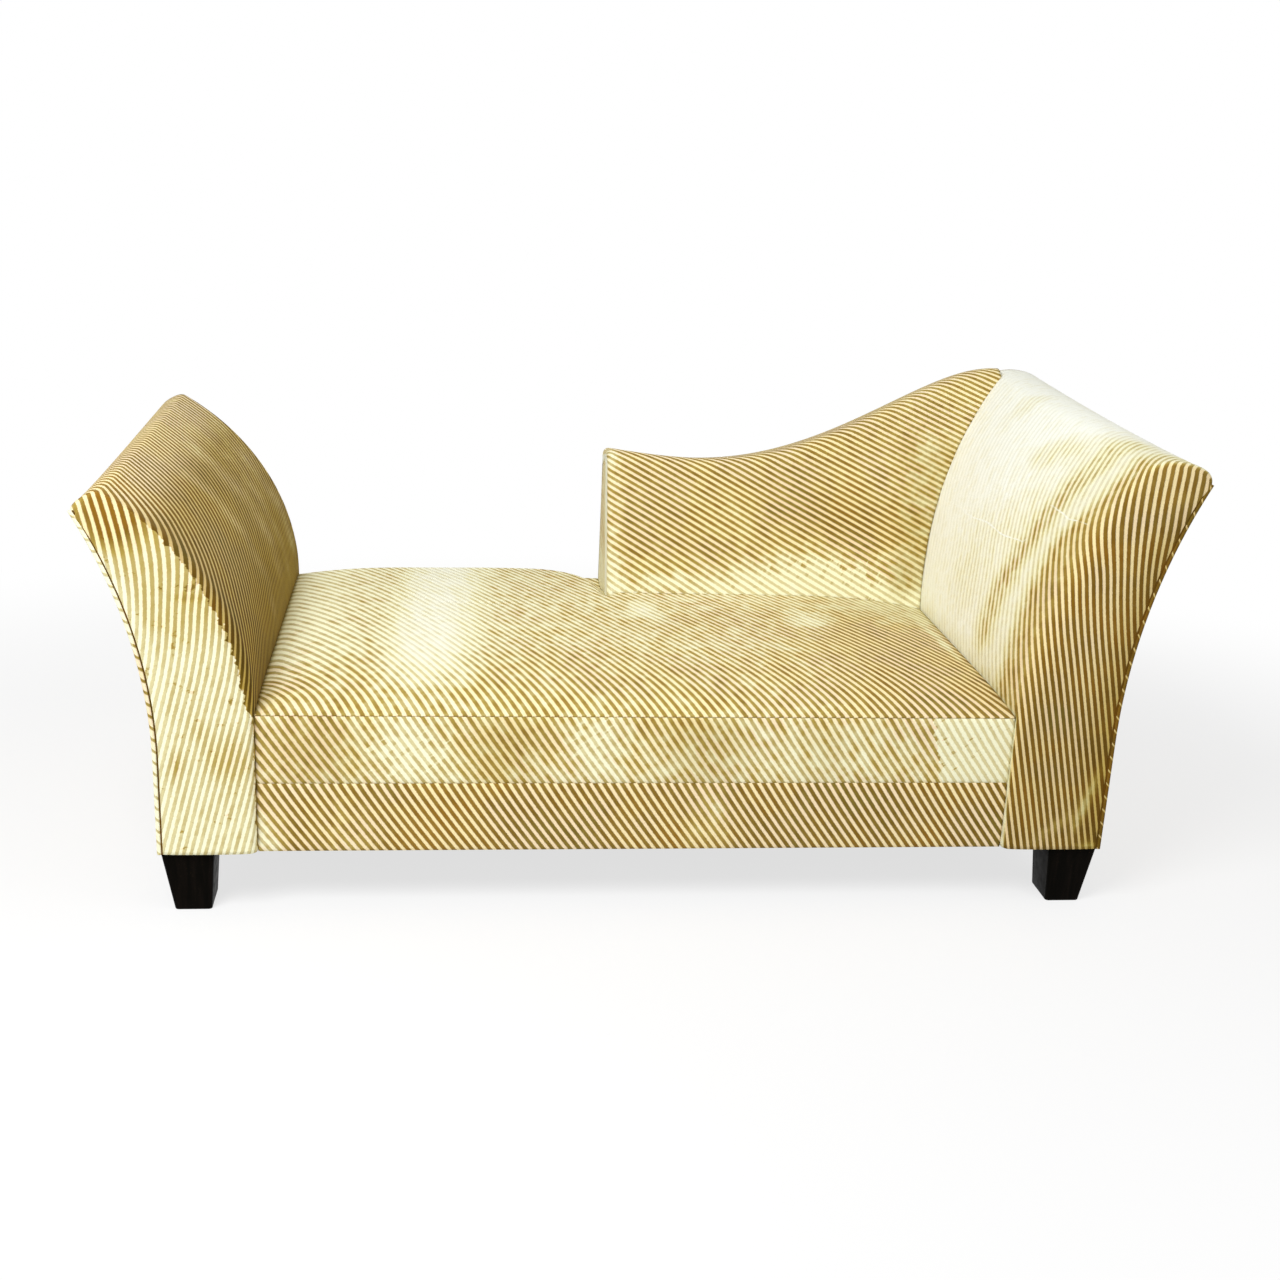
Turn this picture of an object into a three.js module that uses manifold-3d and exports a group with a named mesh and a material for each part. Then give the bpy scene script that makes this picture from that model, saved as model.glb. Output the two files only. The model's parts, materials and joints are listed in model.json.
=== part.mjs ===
// A recamier: a long tight seat between two rolled-out arms, with a partial back that sweeps up to the
// taller right arm. Millimetres, +X to the right, +Y to the rear, +Z up.
import * as THREE from "three";
import { mergeVertices } from "three/addons/utils/BufferGeometryUtils.js";
import Module from "manifold-3d";

const wasm = await Module();
wasm.setup();

// Overall sizes, measured from the seat's front face, its centre line and the floor
const seatWidth = 1396; // between the two arms
const seatDepth = 904; // from the seat's front face to the rear faces
const footHeight = 115;
const borderTop = 244; // seam between the lower border and the seat boxing
const borderHem = 4; // how far the border hangs below the frame
const seamHeight = 377; // seam between the boxing and the seat top
const seatCrown = 36; // how far the middle of the seat stands over its front seam
const seatRearRound = 26;
const armProjection = 19; // how far the arm fronts stand before the seat front

// Left arm, the lower one: its inside face starts to roll out at a height, leans out and ends at its top
const leftArmThickness = 173;
const leftArmTop = 781;
const leftInnerStart = 380;
const leftInnerLean = 239;
const leftOuterStart = 295;
const leftOuterTop = 747;
const leftOuterLean = 118;
const leftLipInner = 16;
const leftLipOuter = 14;
const leftArmRise = 4; // how much higher the arm's top is at the rear
const leftArmSag = 9; // how far the cover sinks behind the front corner

// Right arm, the taller one, whose top climbs a little towards the rear
const rightArmThickness = 191;
const rightArmTop = 855;
const rightInnerStart = 335;
const rightInnerLean = 182;
const rightOuterStart = 335;
const rightOuterTop = 832;
const rightOuterLean = 115;
const rightLipInner = 46;
const rightLipOuter = 38;
const rightArmRise = 22;
const rightArmSag = 3;

// Soft corner where each arm's front turns to its inside face
const lowCornerRadius = 15; // beside the seat front
const softCornerRadius = 46; // at its softest, above the seat
const tipCornerRadius = 12; // at the top

// Back: from its free end to the right arm
const backEnd = 10; // how far the free end lies left of the seat's centre line
const backDepth = 236; // from its front face at the recline's foot to the rear faces
const reclineFoot = 405;
const backRecline = 0.37; // rearward run for each unit of height
const dipHeight = 673; // the lowest point of the swept top edge
const dipPlace = 190;
const endHeight = 693; // the top edge over the free end
const peakStand = 20; // how far the top edge stands over the right arm's rear where the two meet
const backTopRound = 30;
const backRearRound = 12;
const backLap = 40; // how far the inside cover comes down behind
const backEndRound = 14;
const backOverlap = 10; // how far its top runs on over the right arm
const backTuck = 40; // how far the back's cover goes down behind the seat

// Layers
const cloth = 3; // cover with its cotton lining
const clearance = 0.3;
const armPad = 26;
const armFrontPad = 13;
const backPad = 42;
const weltRadius = 4.5;
const weltInset = 1;

// Frame timber
const railThickness = 28;
const railTop = 240;
const stretcherWidth = 60;
const stretcherPlace = -65; // its middle, clear of the back's end post
const stretcherDrop = 40; // from the rail tops down to the stretcher
const baseRailHeight = 50;
const topRailHeight = 48;
const blockSize = 75;
const blockHeight = 42;
const boardHeight = 90;
const lowerRailHeight = 60;
const postRise = 15; // from the seat rails' tops to the wide part of the back posts
const postFoot = 62; // depth of the posts' feet
const middlePostPlace = 206;
const headPostInset = 58; // from the seat's right end

// Suspension
const strapWidth = 60;
const strapThickness = 2.5;
const longStrapMargin = 38; // from the seat's ends to where the spacing of the long straps starts
const longStraps = 6;
const crossStraps = 2;
const crossStrapPitch = 300;
const burlapThickness = 2;
const dustCoverThickness = 1.2;
const dustCoverMargin = 8;

// Feet
const footTopWidth = 94;
const footBottomWidth = 66;
const footTopDepth = 98;
const footBottomDepth = 82;
const footOuterInset = 2; // from the arm's outer face at the top
const footTaper = 21; // how far the outer side slants in
const footFrontInset = 5;
const footFrontTaper = 4;
const footRound = 5;
const boltRadius = 4;
const boltGrip = 40; // into the foot, and a little less into the block
const boltSink = 5;

const overrun = 20; // past a face that a cut goes through
const weldDistance = 0.002; // points closer than this are one
const sliver = 1e-6; // twice the area under which three points count as in line

const half = seatWidth / 2;
const armFront = -armProjection;
const backFront = seatDepth - backDepth;
const peakHeight = rightArmTop + rightArmRise + peakStand;
const longStrapPitch = (seatWidth - 2 * longStrapMargin) / longStraps;
const padBack = seatDepth - cloth - clearance; // where the layers behind the rear panels end
const railReach = half + cloth + clearance + armPad; // the seat rails' ends, against the arm posts

const leftArm = {
  side: -1, thickness: leftArmThickness, top: leftArmTop, innerStart: leftInnerStart,
  innerLean: leftInnerLean, innerCurlShare: 0.853, outerStart: leftOuterStart, outerTop: leftOuterTop,
  outerLean: leftOuterLean, outerCurlShare: 0.5, lipInner: leftLipInner, lipOuter: leftLipOuter,
  rise: leftArmRise, sag: leftArmSag,
};
const rightArm = {
  side: 1, thickness: rightArmThickness, top: rightArmTop, innerStart: rightInnerStart,
  innerLean: rightInnerLean, innerCurlShare: 0.72, outerStart: rightOuterStart, outerTop: rightOuterTop,
  outerLean: rightOuterLean, outerCurlShare: 0.555, lipInner: rightLipInner, lipOuter: rightLipOuter,
  rise: rightArmRise, sag: rightArmSag,
};

// Materials
const velvet = new THREE.MeshStandardMaterial({ color: 0xcdb06a, roughness: 0.9 });
const hardwood = new THREE.MeshStandardMaterial({ color: 0xb88f5e, roughness: 0.7 });
const foam = new THREE.MeshStandardMaterial({ color: 0xeee3c0, roughness: 1 });
const jute = new THREE.MeshStandardMaterial({ color: 0xa98a58, roughness: 1 });
const blackCloth = new THREE.MeshStandardMaterial({ color: 0x1c1c1c, roughness: 1 });
const darkWood = new THREE.MeshStandardMaterial({ color: 0x17100d, roughness: 0.35 });
const steel = new THREE.MeshStandardMaterial({ color: 0x8c8c8c, roughness: 0.4, metalness: 1 });

const recamier = new THREE.Group();

function addPiece(name, geometry, material) {
  const mesh = new THREE.Mesh(geometry, material);
  mesh.name = name;
  recamier.add(mesh);
}

// Triangles over a flat ring, clipped ear by ear with the best-shaped first, so that every point stays in use
function ringTriangles(flat) {
  const sign = THREE.ShapeUtils.isClockWise(flat) ? -1 : 1;
  const area = (a, b, c) => {
    const [p, q, r] = [flat[a], flat[b], flat[c]];
    return sign * ((q.x - p.x) * (r.y - p.y) - (q.y - p.y) * (r.x - p.x));
  };
  const left = flat.map((_, i) => i);
  const found = [];
  while (left.length > 3) {
    let best = { score: 0 };
    left.forEach((b, i) => {
      const a = left[(i + left.length - 1) % left.length];
      const c = left[(i + 1) % left.length];
      const longest = Math.max(
        flat[a].distanceToSquared(flat[b]), flat[b].distanceToSquared(flat[c]), flat[c].distanceToSquared(flat[a]),
      );
      const score = area(a, b, c) / longest;
      if (score <= best.score || area(a, b, c) < sliver) return;
      const inside = (p) => area(a, b, p) > -sliver && area(b, c, p) > -sliver && area(c, a, p) > -sliver;
      if (!left.some((p) => p !== a && p !== b && p !== c && inside(p))) best = { score, i, ear: [a, b, c] };
    });
    found.push(best.ear);
    left.splice(best.i, 1);
  }
  return [...found, left];
}

// A closed solid through rings of points, each ring flat enough to be capped at the two ends
function loft(rings, flatten) {
  const size = rings[0].length;
  const index = [];
  for (let r = 0; r + 1 < rings.length; r += 1) {
    for (let i = 0; i < size; i += 1) {
      const a = r * size + i;
      const b = r * size + ((i + 1) % size);
      index.push(a, b, b + size, a, b + size, a + size);
    }
  }
  for (const [a, b, c] of ringTriangles(rings[0].map(flatten))) index.push(a, c, b);
  const last = (rings.length - 1) * size;
  for (const [a, b, c] of ringTriangles(rings.at(-1).map(flatten))) index.push(last + a, last + b, last + c);
  const geometry = new THREE.BufferGeometry();
  geometry.setAttribute("position", new THREE.Float32BufferAttribute(rings.flat(2), 3));
  geometry.setIndex(index);
  return closed(geometry);
}

// One welded surface whose faces point out, whichever way it was built
function closed(geometry) {
  const bare = geometry.clone();
  bare.deleteAttribute("normal");
  bare.deleteAttribute("uv");
  const merged = mergeVertices(bare, weldDistance);
  if (volumeOf(merged) < 0) merged.index.array.reverse();
  return merged;
}

function volumeOf(geometry) {
  const at = geometry.attributes.position;
  const corner = [new THREE.Vector3(), new THREE.Vector3(), new THREE.Vector3()];
  let total = 0;
  for (let i = 0; i < geometry.index.count; i += 3) {
    corner.forEach((v, k) => v.fromBufferAttribute(at, geometry.index.getX(i + k)));
    total += corner[0].dot(corner[1].clone().cross(corner[2]));
  }
  return total;
}

// Closed geometry to a solid that can be cut, and back
function solid(geometry) {
  const made = closed(geometry);
  const vertProperties = new Float32Array(made.attributes.position.array);
  return new wasm.Manifold(
    new wasm.Mesh({ numProp: 3, vertProperties, triVerts: new Uint32Array(made.index.array) }),
  );
}

function geometryOf(made) {
  const mesh = made.getMesh();
  const geometry = new THREE.BufferGeometry();
  geometry.setAttribute("position", new THREE.BufferAttribute(mesh.vertProperties, mesh.numProp));
  geometry.setIndex(new THREE.BufferAttribute(mesh.triVerts, 1));
  return geometry;
}

function cut(from, ...tools) {
  return geometryOf(tools.reduce((rest, tool) => rest.subtract(solid(tool)), solid(from)));
}

function common(first, second) {
  return geometryOf(solid(first).intersect(solid(second)));
}

function box(x0, x1, y0, y1, z0, z1) {
  const made = new THREE.BoxGeometry(x1 - x0, y1 - y0, z1 - z0);
  return made.translate((x0 + x1) / 2, (y0 + y1) / 2, (z0 + z1) / 2);
}

function mix(a, b, share) {
  return a + (b - a) * share;
}

// Share of the way along an elliptical roll, 0 at its start and 1 at its end
function roll(share, curlShare) {
  const t = Math.min(Math.max(share, 0), 1);
  return (1 - Math.sqrt(1 - (curlShare * t) ** 2)) / (1 - Math.sqrt(1 - curlShare ** 2));
}

// An arm's inside and outside faces: distance out from the seat's centre plane at a height
function innerFace(arm, z) {
  const share = (z - arm.innerStart) / (arm.top - arm.innerStart);
  return half + arm.innerLean * roll(share, arm.innerCurlShare);
}

function outerFace(arm, z) {
  const share = (z - arm.outerStart) / (arm.outerTop - arm.outerStart);
  return half + arm.thickness + arm.outerLean * roll(share, arm.outerCurlShare);
}

// The rounded lip between the two faces, and the place on the outside that its points move to when inset
function lip(arm) {
  const step = cloth;
  const rising = new THREE.Vector2(innerFace(arm, arm.top) - innerFace(arm, arm.top - step), step).normalize();
  const falling = new THREE.Vector2(
    outerFace(arm, arm.outerTop) - outerFace(arm, arm.outerTop - step), step,
  ).normalize();
  const start = new THREE.Vector2(innerFace(arm, arm.top), arm.top);
  const end = new THREE.Vector2(outerFace(arm, arm.outerTop), arm.outerTop);
  return new THREE.CubicBezierCurve(
    start, start.clone().addScaledVector(rising, arm.lipInner),
    end.clone().addScaledVector(falling, arm.lipOuter), end,
  );
}

// Corner radius at a height: small beside the seat, softest above it and small again at the top
function cornerRadius(arm, z) {
  const share = THREE.MathUtils.clamp((z - seamHeight) / (arm.top - seamHeight), 0, 1);
  const ends = mix(lowCornerRadius, tipCornerRadius, share);
  return mix(ends, softCornerRadius, Math.sin(Math.PI * share ** 0.7) ** 0.8);
}

const innerSteps = 12;
const lipSteps = 6;
const outerSteps = 6;

// One section of an arm. Inside and lip points move towards the outside face by the inset and by the round
// of the front corner; the outside face moves in by outerInset, or out where that is negative.
function armSection(arm, y, { inset = 0, front = 0, outerInset = 0, drop = 0 }) {
  const lipCurve = lip(arm);
  const anchor = new THREE.Vector2(0, mix(arm.outerTop, footHeight, 0.1));
  anchor.x = outerFace(arm, anchor.y);
  const along = THREE.MathUtils.clamp((y - armFront) / (seatDepth - armFront), 0, 1);
  const lift = arm.rise * along ** 2 - arm.sag * Math.sin(Math.PI * along ** 0.4);
  const climb = 1 + lift / (arm.top - footHeight);
  const points = [];
  const moved = (p, partner) => {
    const radius = Math.max(cornerRadius(arm, p.y) - inset, cloth / 2);
    const into = Math.min(y - armFront - front, radius);
    const round = radius - Math.sqrt(radius ** 2 - (radius - into) ** 2);
    const way = partner.clone().sub(p);
    return p.clone().addScaledVector(way, Math.min((inset + round) / way.length(), 0.8));
  };
  for (let i = 0; i < innerSteps; i += 1) {
    const share = 1 - (1 - i / innerSteps) ** 1.3;
    const p = new THREE.Vector2(0, mix(footHeight, arm.top, share));
    p.x = innerFace(arm, p.y);
    const partner = new THREE.Vector2(0, mix(footHeight, anchor.y, share));
    partner.x = outerFace(arm, partner.y);
    points.push(moved(p, partner));
  }
  for (let i = 0; i <= lipSteps; i += 1) points.push(moved(lipCurve.getPoint(i / lipSteps), anchor));
  const last = points.at(-1);
  last.x -= Math.max(outerInset, 0);
  if (outerInset < 0) points.push(new THREE.Vector2(last.x - outerInset, last.y));
  for (let i = 0; i <= outerSteps; i += 1) {
    const z = mix(anchor.y, footHeight, i / outerSteps);
    points.push(new THREE.Vector2(outerFace(arm, z) - outerInset, z));
  }
  points[0].y -= drop;
  points.at(-1).y -= drop;
  return points.map((p) => [arm.side * p.x, y, footHeight + (p.y - footHeight) * climb]);
}

// Distances behind the arm's front at which its sections stand, close together round the corner
const cornerShares = [0, 0.04, 0.14, 0.34, 0.62, 1];
const lengthShares = [0.4, 0.7, 1];

function armForm(arm, options) {
  const { front = 0, inset = 0, back = padBack } = options;
  const first = armFront + front;
  const corner = Math.max(softCornerRadius - inset, cloth);
  const places = cornerShares.map((s) => first + corner * s);
  lengthShares.forEach((s) => places.push(mix(armFront, padBack, s)));
  if (back > padBack) places.push(back);
  return loft(places.map((y) => armSection(arm, y, options)), ([x, , z]) => new THREE.Vector2(x, z));
}

// The welt down an arm's outer front edge
function weltPath(arm, reach) {
  const steps = 12;
  const points = [];
  for (let i = 0; i <= steps; i += 1) {
    const z = mix(footHeight - reach, arm.outerTop + reach, i / steps);
    const x = arm.side * (outerFace(arm, z) - weltInset);
    points.push(new THREE.Vector3(x, armFront + weltInset, z));
  }
  return new THREE.CatmullRomCurve3(points);
}

function weltTube(arm, grow, reach) {
  const sides = 8;
  const ring = [];
  for (let i = 0; i < sides; i += 1) {
    const turn = (2 * Math.PI * i) / sides;
    ring.push(new THREE.Vector2(Math.cos(turn), Math.sin(turn)).multiplyScalar(weltRadius + grow));
  }
  const made = new THREE.ExtrudeGeometry(new THREE.Shape(ring), {
    steps: 20, extrudePath: weltPath(arm, reach),
  });
  return closed(made);
}

// Room in an arm's cover and padding for the seat rails' ends
function railRoom(arm) {
  const ends = [arm.side * (half - overrun), arm.side * (railReach + clearance)].sort((a, b) => a - b);
  return box(...ends, cloth, seatDepth + overrun, footHeight - 2 * overrun, railTop + clearance);
}

function buildArm(arm, name) {
  const channel = weltTube(arm, clearance, clearance * 3);
  const rails = railRoom(arm);
  const past = { back: padBack + overrun, drop: overrun, outerInset: -overrun };
  const coverInside = armForm(arm, { inset: cloth, front: cloth, ...past });
  addPiece(`${name}_inside_arm_cover`, cut(armForm(arm, {}), coverInside, channel, rails), velvet);

  const padOuter = cloth + clearance;
  const padInset = { inset: padOuter, front: padOuter };
  const deep = padOuter + armPad;
  const padForm = armForm(arm, { ...padInset, outerInset: padOuter });
  const padInside = armForm(arm, { inset: deep, front: padOuter + armFrontPad, ...past });
  addPiece(`${name}_arm_pad`, cut(padForm, padInside, channel, rails), foam);

  const panelForm = armForm(arm, padInset);
  const panelInside = armForm(arm, {
    inset: -overrun, front: -overrun, back: padBack + overrun, drop: overrun, outerInset: cloth,
  });
  addPiece(`${name}_outside_arm_panel`, cut(panelForm, panelInside, channel), velvet);
  const sections = [seatDepth - cloth, seatDepth].map((y) => armSection(arm, y, {}));
  addPiece(`${name}_arm_rear_panel`, loft(sections, ([x, , z]) => new THREE.Vector2(x, z)), velvet);
  addPiece(`${name}_arm_welt`, weltTube(arm, 0, 0), velvet);

  const postFront = padOuter + armFrontPad + clearance;
  const form = armForm(arm, { inset: deep + clearance, front: postFront, outerInset: padOuter });
  const room = armForm(arm, { ...past, inset: -overrun, front: -overrun, outerInset: padOuter });
  const core = common(form, room);
  buildArmFrame(arm, name, core, armFront + postFront + railThickness);
}

// Arm frame: two posts that fill the padding's inside, rails between them, and blocks for the feet
function buildArmFrame(arm, name, core, postEnd) {
  const wide = half + arm.thickness + arm.innerLean + arm.outerLean;
  const high = arm.top + overrun * 2;
  const slab = (y0, y1, z0, z1) => box(-wide, wide, y0, y1, z0, z1);
  const low = footHeight - overrun;
  const [before, behind] = [armFront - overrun, seatDepth + overrun];
  const rearPost = padBack - railThickness;
  addPiece(`${name}_front_arm_post`, cut(core, slab(postEnd, behind, low, high)), hardwood);
  addPiece(`${name}_rear_arm_post`, cut(core, slab(before, rearPost, low, high)), hardwood);

  const y0 = postEnd + clearance;
  const y1 = rearPost - clearance;
  const railFloor = armHeadroom(core, y0) - topRailHeight;
  const rest = [slab(before, y0, low, high), slab(y1, behind, low, high), slab(before, behind, low, railFloor)];
  addPiece(`${name}_arm_top_rail`, cut(core, ...rest), hardwood);

  const outer = half + arm.thickness - cloth - clearance;
  const across = (from, to) => (arm.side > 0 ? [from, to] : [-to, -from]);
  const baseRail = box(...across(outer - railThickness, outer), y0, y1, footHeight, footHeight + baseRailHeight);
  addPiece(`${name}_arm_base_rail`, baseRail, hardwood);

  const blockOuter = outer - railThickness - clearance;
  const bolts = boltPlaces(arm);
  for (const [end, y, bolt] of [["front", y0, bolts[0]], ["rear", y1 - blockSize, bolts[1]]]) {
    const sides = across(blockOuter - blockSize, blockOuter);
    const block = box(...sides, y, y + blockSize, footHeight, footHeight + blockHeight);
    addPiece(`${name}_${end}_corner_block`, cut(block, boltShape(bolt, clearance, overrun)), hardwood);
  }
}

// Greatest height of a form no further back than y
function armHeadroom(form, y) {
  const at = form.attributes.position;
  let high = 0;
  for (let i = 0; i < at.count; i += 1) if (at.getY(i) <= y) high = Math.max(high, at.getZ(i));
  return high;
}

// Where the hanger bolts stand, front and rear
function boltPlaces(arm) {
  const x = arm.side * (half + arm.thickness - footOuterInset - footTopWidth / 2);
  const inFromFront = footFrontInset + footTopDepth / 2 + blockSize / 6;
  return [
    [x, armFront + inFromFront],
    [x, seatDepth - inFromFront],
  ];
}

function boltShape([x, y], grow, reach) {
  const low = footHeight - boltGrip;
  const high = footHeight + blockHeight - boltSink;
  const rod = new THREE.CylinderGeometry(boltRadius + grow, boltRadius + grow, high - low + 2 * reach, 12);
  return closed(rod.rotateX(Math.PI / 2).translate(x, y, (low + high) / 2));
}

// A foot's outline at one height, with rounded corners: across from inner to outer side, along from front
function footRing(arm, outer, width, front, depth, z, rear) {
  const ring = [];
  const middle = [outer - width / 2, front + depth / 2];
  const steps = 3;
  for (let corner = 0; corner < 4; corner += 1) {
    for (let i = 0; i <= steps; i += 1) {
      const turn = ((corner + i / steps) * Math.PI) / 2;
      const sx = Math.sign(Math.cos(((corner + 0.5) * Math.PI) / 2));
      const sy = Math.sign(Math.sin(((corner + 0.5) * Math.PI) / 2));
      const x = middle[0] + sx * (width / 2 - footRound) + footRound * Math.cos(turn);
      const y = middle[1] + sy * (depth / 2 - footRound) + footRound * Math.sin(turn);
      ring.push([arm.side * x, rear ? seatDepth + armFront - y : y, z]);
    }
  }
  return ring;
}

function buildFeet(arm, name) {
  const outer = half + arm.thickness - footOuterInset;
  const front = armFront + footFrontInset;
  const bolts = boltPlaces(arm);
  for (const [i, end] of ["front", "rear"].entries()) {
    const rear = end === "rear";
    const foot = loft(
      [
        footRing(arm, outer - footTaper, footBottomWidth, front + footFrontTaper, footBottomDepth, 0, rear),
        footRing(arm, outer, footTopWidth, front, footTopDepth, footHeight - clearance, rear),
      ],
      ([x, y]) => new THREE.Vector2(x, y),
    );
    addPiece(`${name}_${end}_foot`, cut(foot, boltShape(bolts[i], clearance, clearance)), darkWood);
    addPiece(`${name}_${end}_hanger_bolt`, boltShape(bolts[i], 0, 0), steel);
  }
}

// Seat frame, whose rails run under the arms' padding to the arm posts
function buildSeatFrame() {
  const front = cloth + clearance;
  const inner = half - clearance - railThickness;
  const y0 = front + railThickness;
  const y1 = padBack - railThickness;
  addPiece("front_rail", box(-railReach, railReach, front, y0, footHeight, railTop), hardwood);
  addPiece("rear_rail", box(-railReach, railReach, y1, padBack, footHeight, railTop), hardwood);
  const ends = [y0 + clearance, y1 - clearance];
  addPiece("left_end_rail", box(-railReach, -inner, ...ends, footHeight, railTop), hardwood);
  addPiece("right_end_rail", box(inner, railReach, ...ends, footHeight, railTop), hardwood);
  const x0 = stretcherPlace - stretcherWidth / 2;
  const stretcher = box(x0, x0 + stretcherWidth, ...ends, footHeight, railTop - stretcherDrop);
  addPiece("seat_stretcher", stretcher, hardwood);
}

// Suspension: long straps lie on the front and rear rails, cross straps weave over and under them
function buildSuspension() {
  const low = railTop + clearance;
  const weave = strapThickness + clearance;
  const deck = low + weave;
  const firstStrap = (-(longStraps - 1) / 2) * longStrapPitch;
  const edge = cloth + clearance;
  for (let i = 0; i < longStraps; i += 1) {
    const x = firstStrap + i * longStrapPitch;
    const strap = box(x - strapWidth / 2, x + strapWidth / 2, edge, padBack, deck, deck + strapThickness);
    addPiece(`seat_webbing_long_${i + 1}`, strap, jute);
  }
  for (let i = 0; i < crossStraps; i += 1) {
    const y = seatDepth / 2 + (i - (crossStraps - 1) / 2) * crossStrapPitch;
    addPiece(`seat_webbing_cross_${i + 1}`, crossStrap(y, firstStrap, deck, weave, i), jute);
  }
}

// A strap along X that passes under one long strap and over the next
function crossStrap(y, firstStrap, deck, weave, phase) {
  const reach = strapWidth / 2 + strapThickness;
  const path = [[-half + clearance, -weave]];
  for (let i = 0; i < longStraps; i += 1) {
    const x = firstStrap + i * longStrapPitch;
    const z = (i + phase) % 2 ? weave : -weave;
    path.push([x - reach, z], [x + reach, z]);
  }
  path.push([half - clearance, -weave]);
  const rings = path.map(([x, z]) => [
    [x, y - strapWidth / 2, deck + z], [x, y + strapWidth / 2, deck + z],
    [x, y + strapWidth / 2, deck + z + strapThickness], [x, y - strapWidth / 2, deck + z + strapThickness],
  ]);
  return loft(rings, ([, py, z]) => new THREE.Vector2(py, z));
}

// The seat's L-shaped floor plan: full depth left of the back's free end, shallower before the back
function seatPlan(inset, behind) {
  const x = half - inset;
  const notch = -backEnd - clearance;
  return new THREE.Shape([
    new THREE.Vector2(-x, cloth + clearance), new THREE.Vector2(x, cloth + clearance),
    new THREE.Vector2(x, behind), new THREE.Vector2(notch, behind),
    new THREE.Vector2(notch, padBack), new THREE.Vector2(-x, padBack),
  ]);
}

const deckTop = railTop + clearance + 3 * (strapThickness + clearance);
const postBottom = railTop + postRise;

function buildDeck() {
  const plan = seatPlan(clearance, backFront + backPad);
  const made = new THREE.ExtrudeGeometry(plan, { depth: burlapThickness, bevelEnabled: false });
  addPiece("seat_burlap", closed(made.translate(0, 0, deckTop)), jute);
}

// Height of the seat's top: a crown that falls softly to the front seam, less at the arms, and stands up
// to a small round along the rear
const endDropShare = 0.75;
const rearDropShare = 0.16;

function seatTop(x, y) {
  const across = 1 - endDropShare * Math.abs(x / half) ** 6;
  const t = (2 * y) / seatDepth - 1;
  if (t <= 0) return seamHeight + seatCrown * across * (1 - Math.abs(t) ** 5);
  const past = THREE.MathUtils.clamp((y - seatDepth + seatRearRound) / seatRearRound, 0, 1);
  const round = 1 - Math.sqrt(1 - past ** 2);
  return seamHeight + seatCrown * across * (1 - rearDropShare * t ** 4 - (1 - rearDropShare) * round);
}

const seatColumns = 22;

// Rows of points front to rear: shares of the depth before the rear round, then shares of the round
const seatRowShares = [0, 0.01, 0.03, 0.07, 0.14, 0.25, 0.38, 0.52, 0.66, 0.8, 0.92, 1];
const rearRoundShares = [0.4, 0.75, 0.93, 1];

// A slab whose top follows the seat's crown, lowered by down, over a flat underside
function seatSlab(x1, down, underside) {
  const rings = [];
  for (let i = 0; i <= seatColumns; i += 1) {
    const s = (2 * i) / seatColumns - 1;
    const x = x1 * Math.sign(s) * (1 - (1 - Math.abs(s)) ** 1.5);
    const line = [];
    const straight = seatDepth - seatRearRound;
    for (const y of seatRowShares.map((r) => r * straight)) line.push([x, y, seatTop(x, y) - down]);
    for (const y of rearRoundShares.map((r) => straight + r * seatRearRound)) line.push([x, y, seatTop(x, y) - down]);
    rings.push([...line, [x, seatDepth, underside], [x, 0, underside]]);
  }
  return loft(rings, ([, y, z]) => new THREE.Vector2(y, z));
}

function buildSeat() {
  const keepOut = backForm({ inset: -clearance, floor: footHeight, back: seatDepth + overrun, right: half + overrun });
  const edge = half - clearance;
  const low = deckTop + burlapThickness + clearance;
  const layer = cut(seatSlab(edge, 0, low), seatSlab(edge, cloth, low));
  addPiece("seat_top_cover", cut(layer, keepOut), velvet);
  const front = box(-half, half, -overrun, cloth + clearance, low - overrun, seamHeight + seatCrown);
  const rear = box(-half, half, padBack, seatDepth + overrun, low - overrun, seamHeight + seatCrown);
  addPiece("seat_foam", cut(seatSlab(edge, cloth + clearance, low), keepOut, front, rear), foam);
  const seam = seamHeight - cloth - clearance;
  addPiece("seat_boxing", box(-edge, edge, 0, cloth, borderTop + clearance, seam), velvet);
  addPiece("front_border", box(-edge, edge, 0, cloth, footHeight - borderHem, borderTop), velvet);
  addPiece("rear_border", box(-edge, edge, seatDepth - cloth, seatDepth, footHeight - borderHem, borderTop), velvet);
  const rearBoxing = box(
    -edge, -backEnd - clearance, seatDepth - cloth, seatDepth, borderTop + clearance, seam,
  );
  addPiece("rear_boxing", rearBoxing, velvet);
}

const peakPlace = half + rightInnerLean;
const backRight = peakPlace + backOverlap;

// The back's swept top edge: a dip near the free end, then a long climb to the right arm
function backTop(x) {
  if (x < dipPlace) {
    const share = Math.min((dipPlace - x) / (dipPlace + backEnd), 1);
    return dipHeight + (endHeight - dipHeight) * share ** 1.5;
  }
  const share = Math.min((x - dipPlace) / (peakPlace - dipPlace), 1);
  return mix(dipHeight, peakHeight, THREE.MathUtils.smoothstep(share ** (1.15 + 0.27 * share), 0, 1));
}

function backFace(z) {
  return backFront + backRecline * (z - reclineFoot);
}

// One section of the back: up its reclined front, round on to the top, and round again down its rear face
const frontSteps = 4;
const frontRoundSteps = 5;
const rearRoundSteps = 2;

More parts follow.
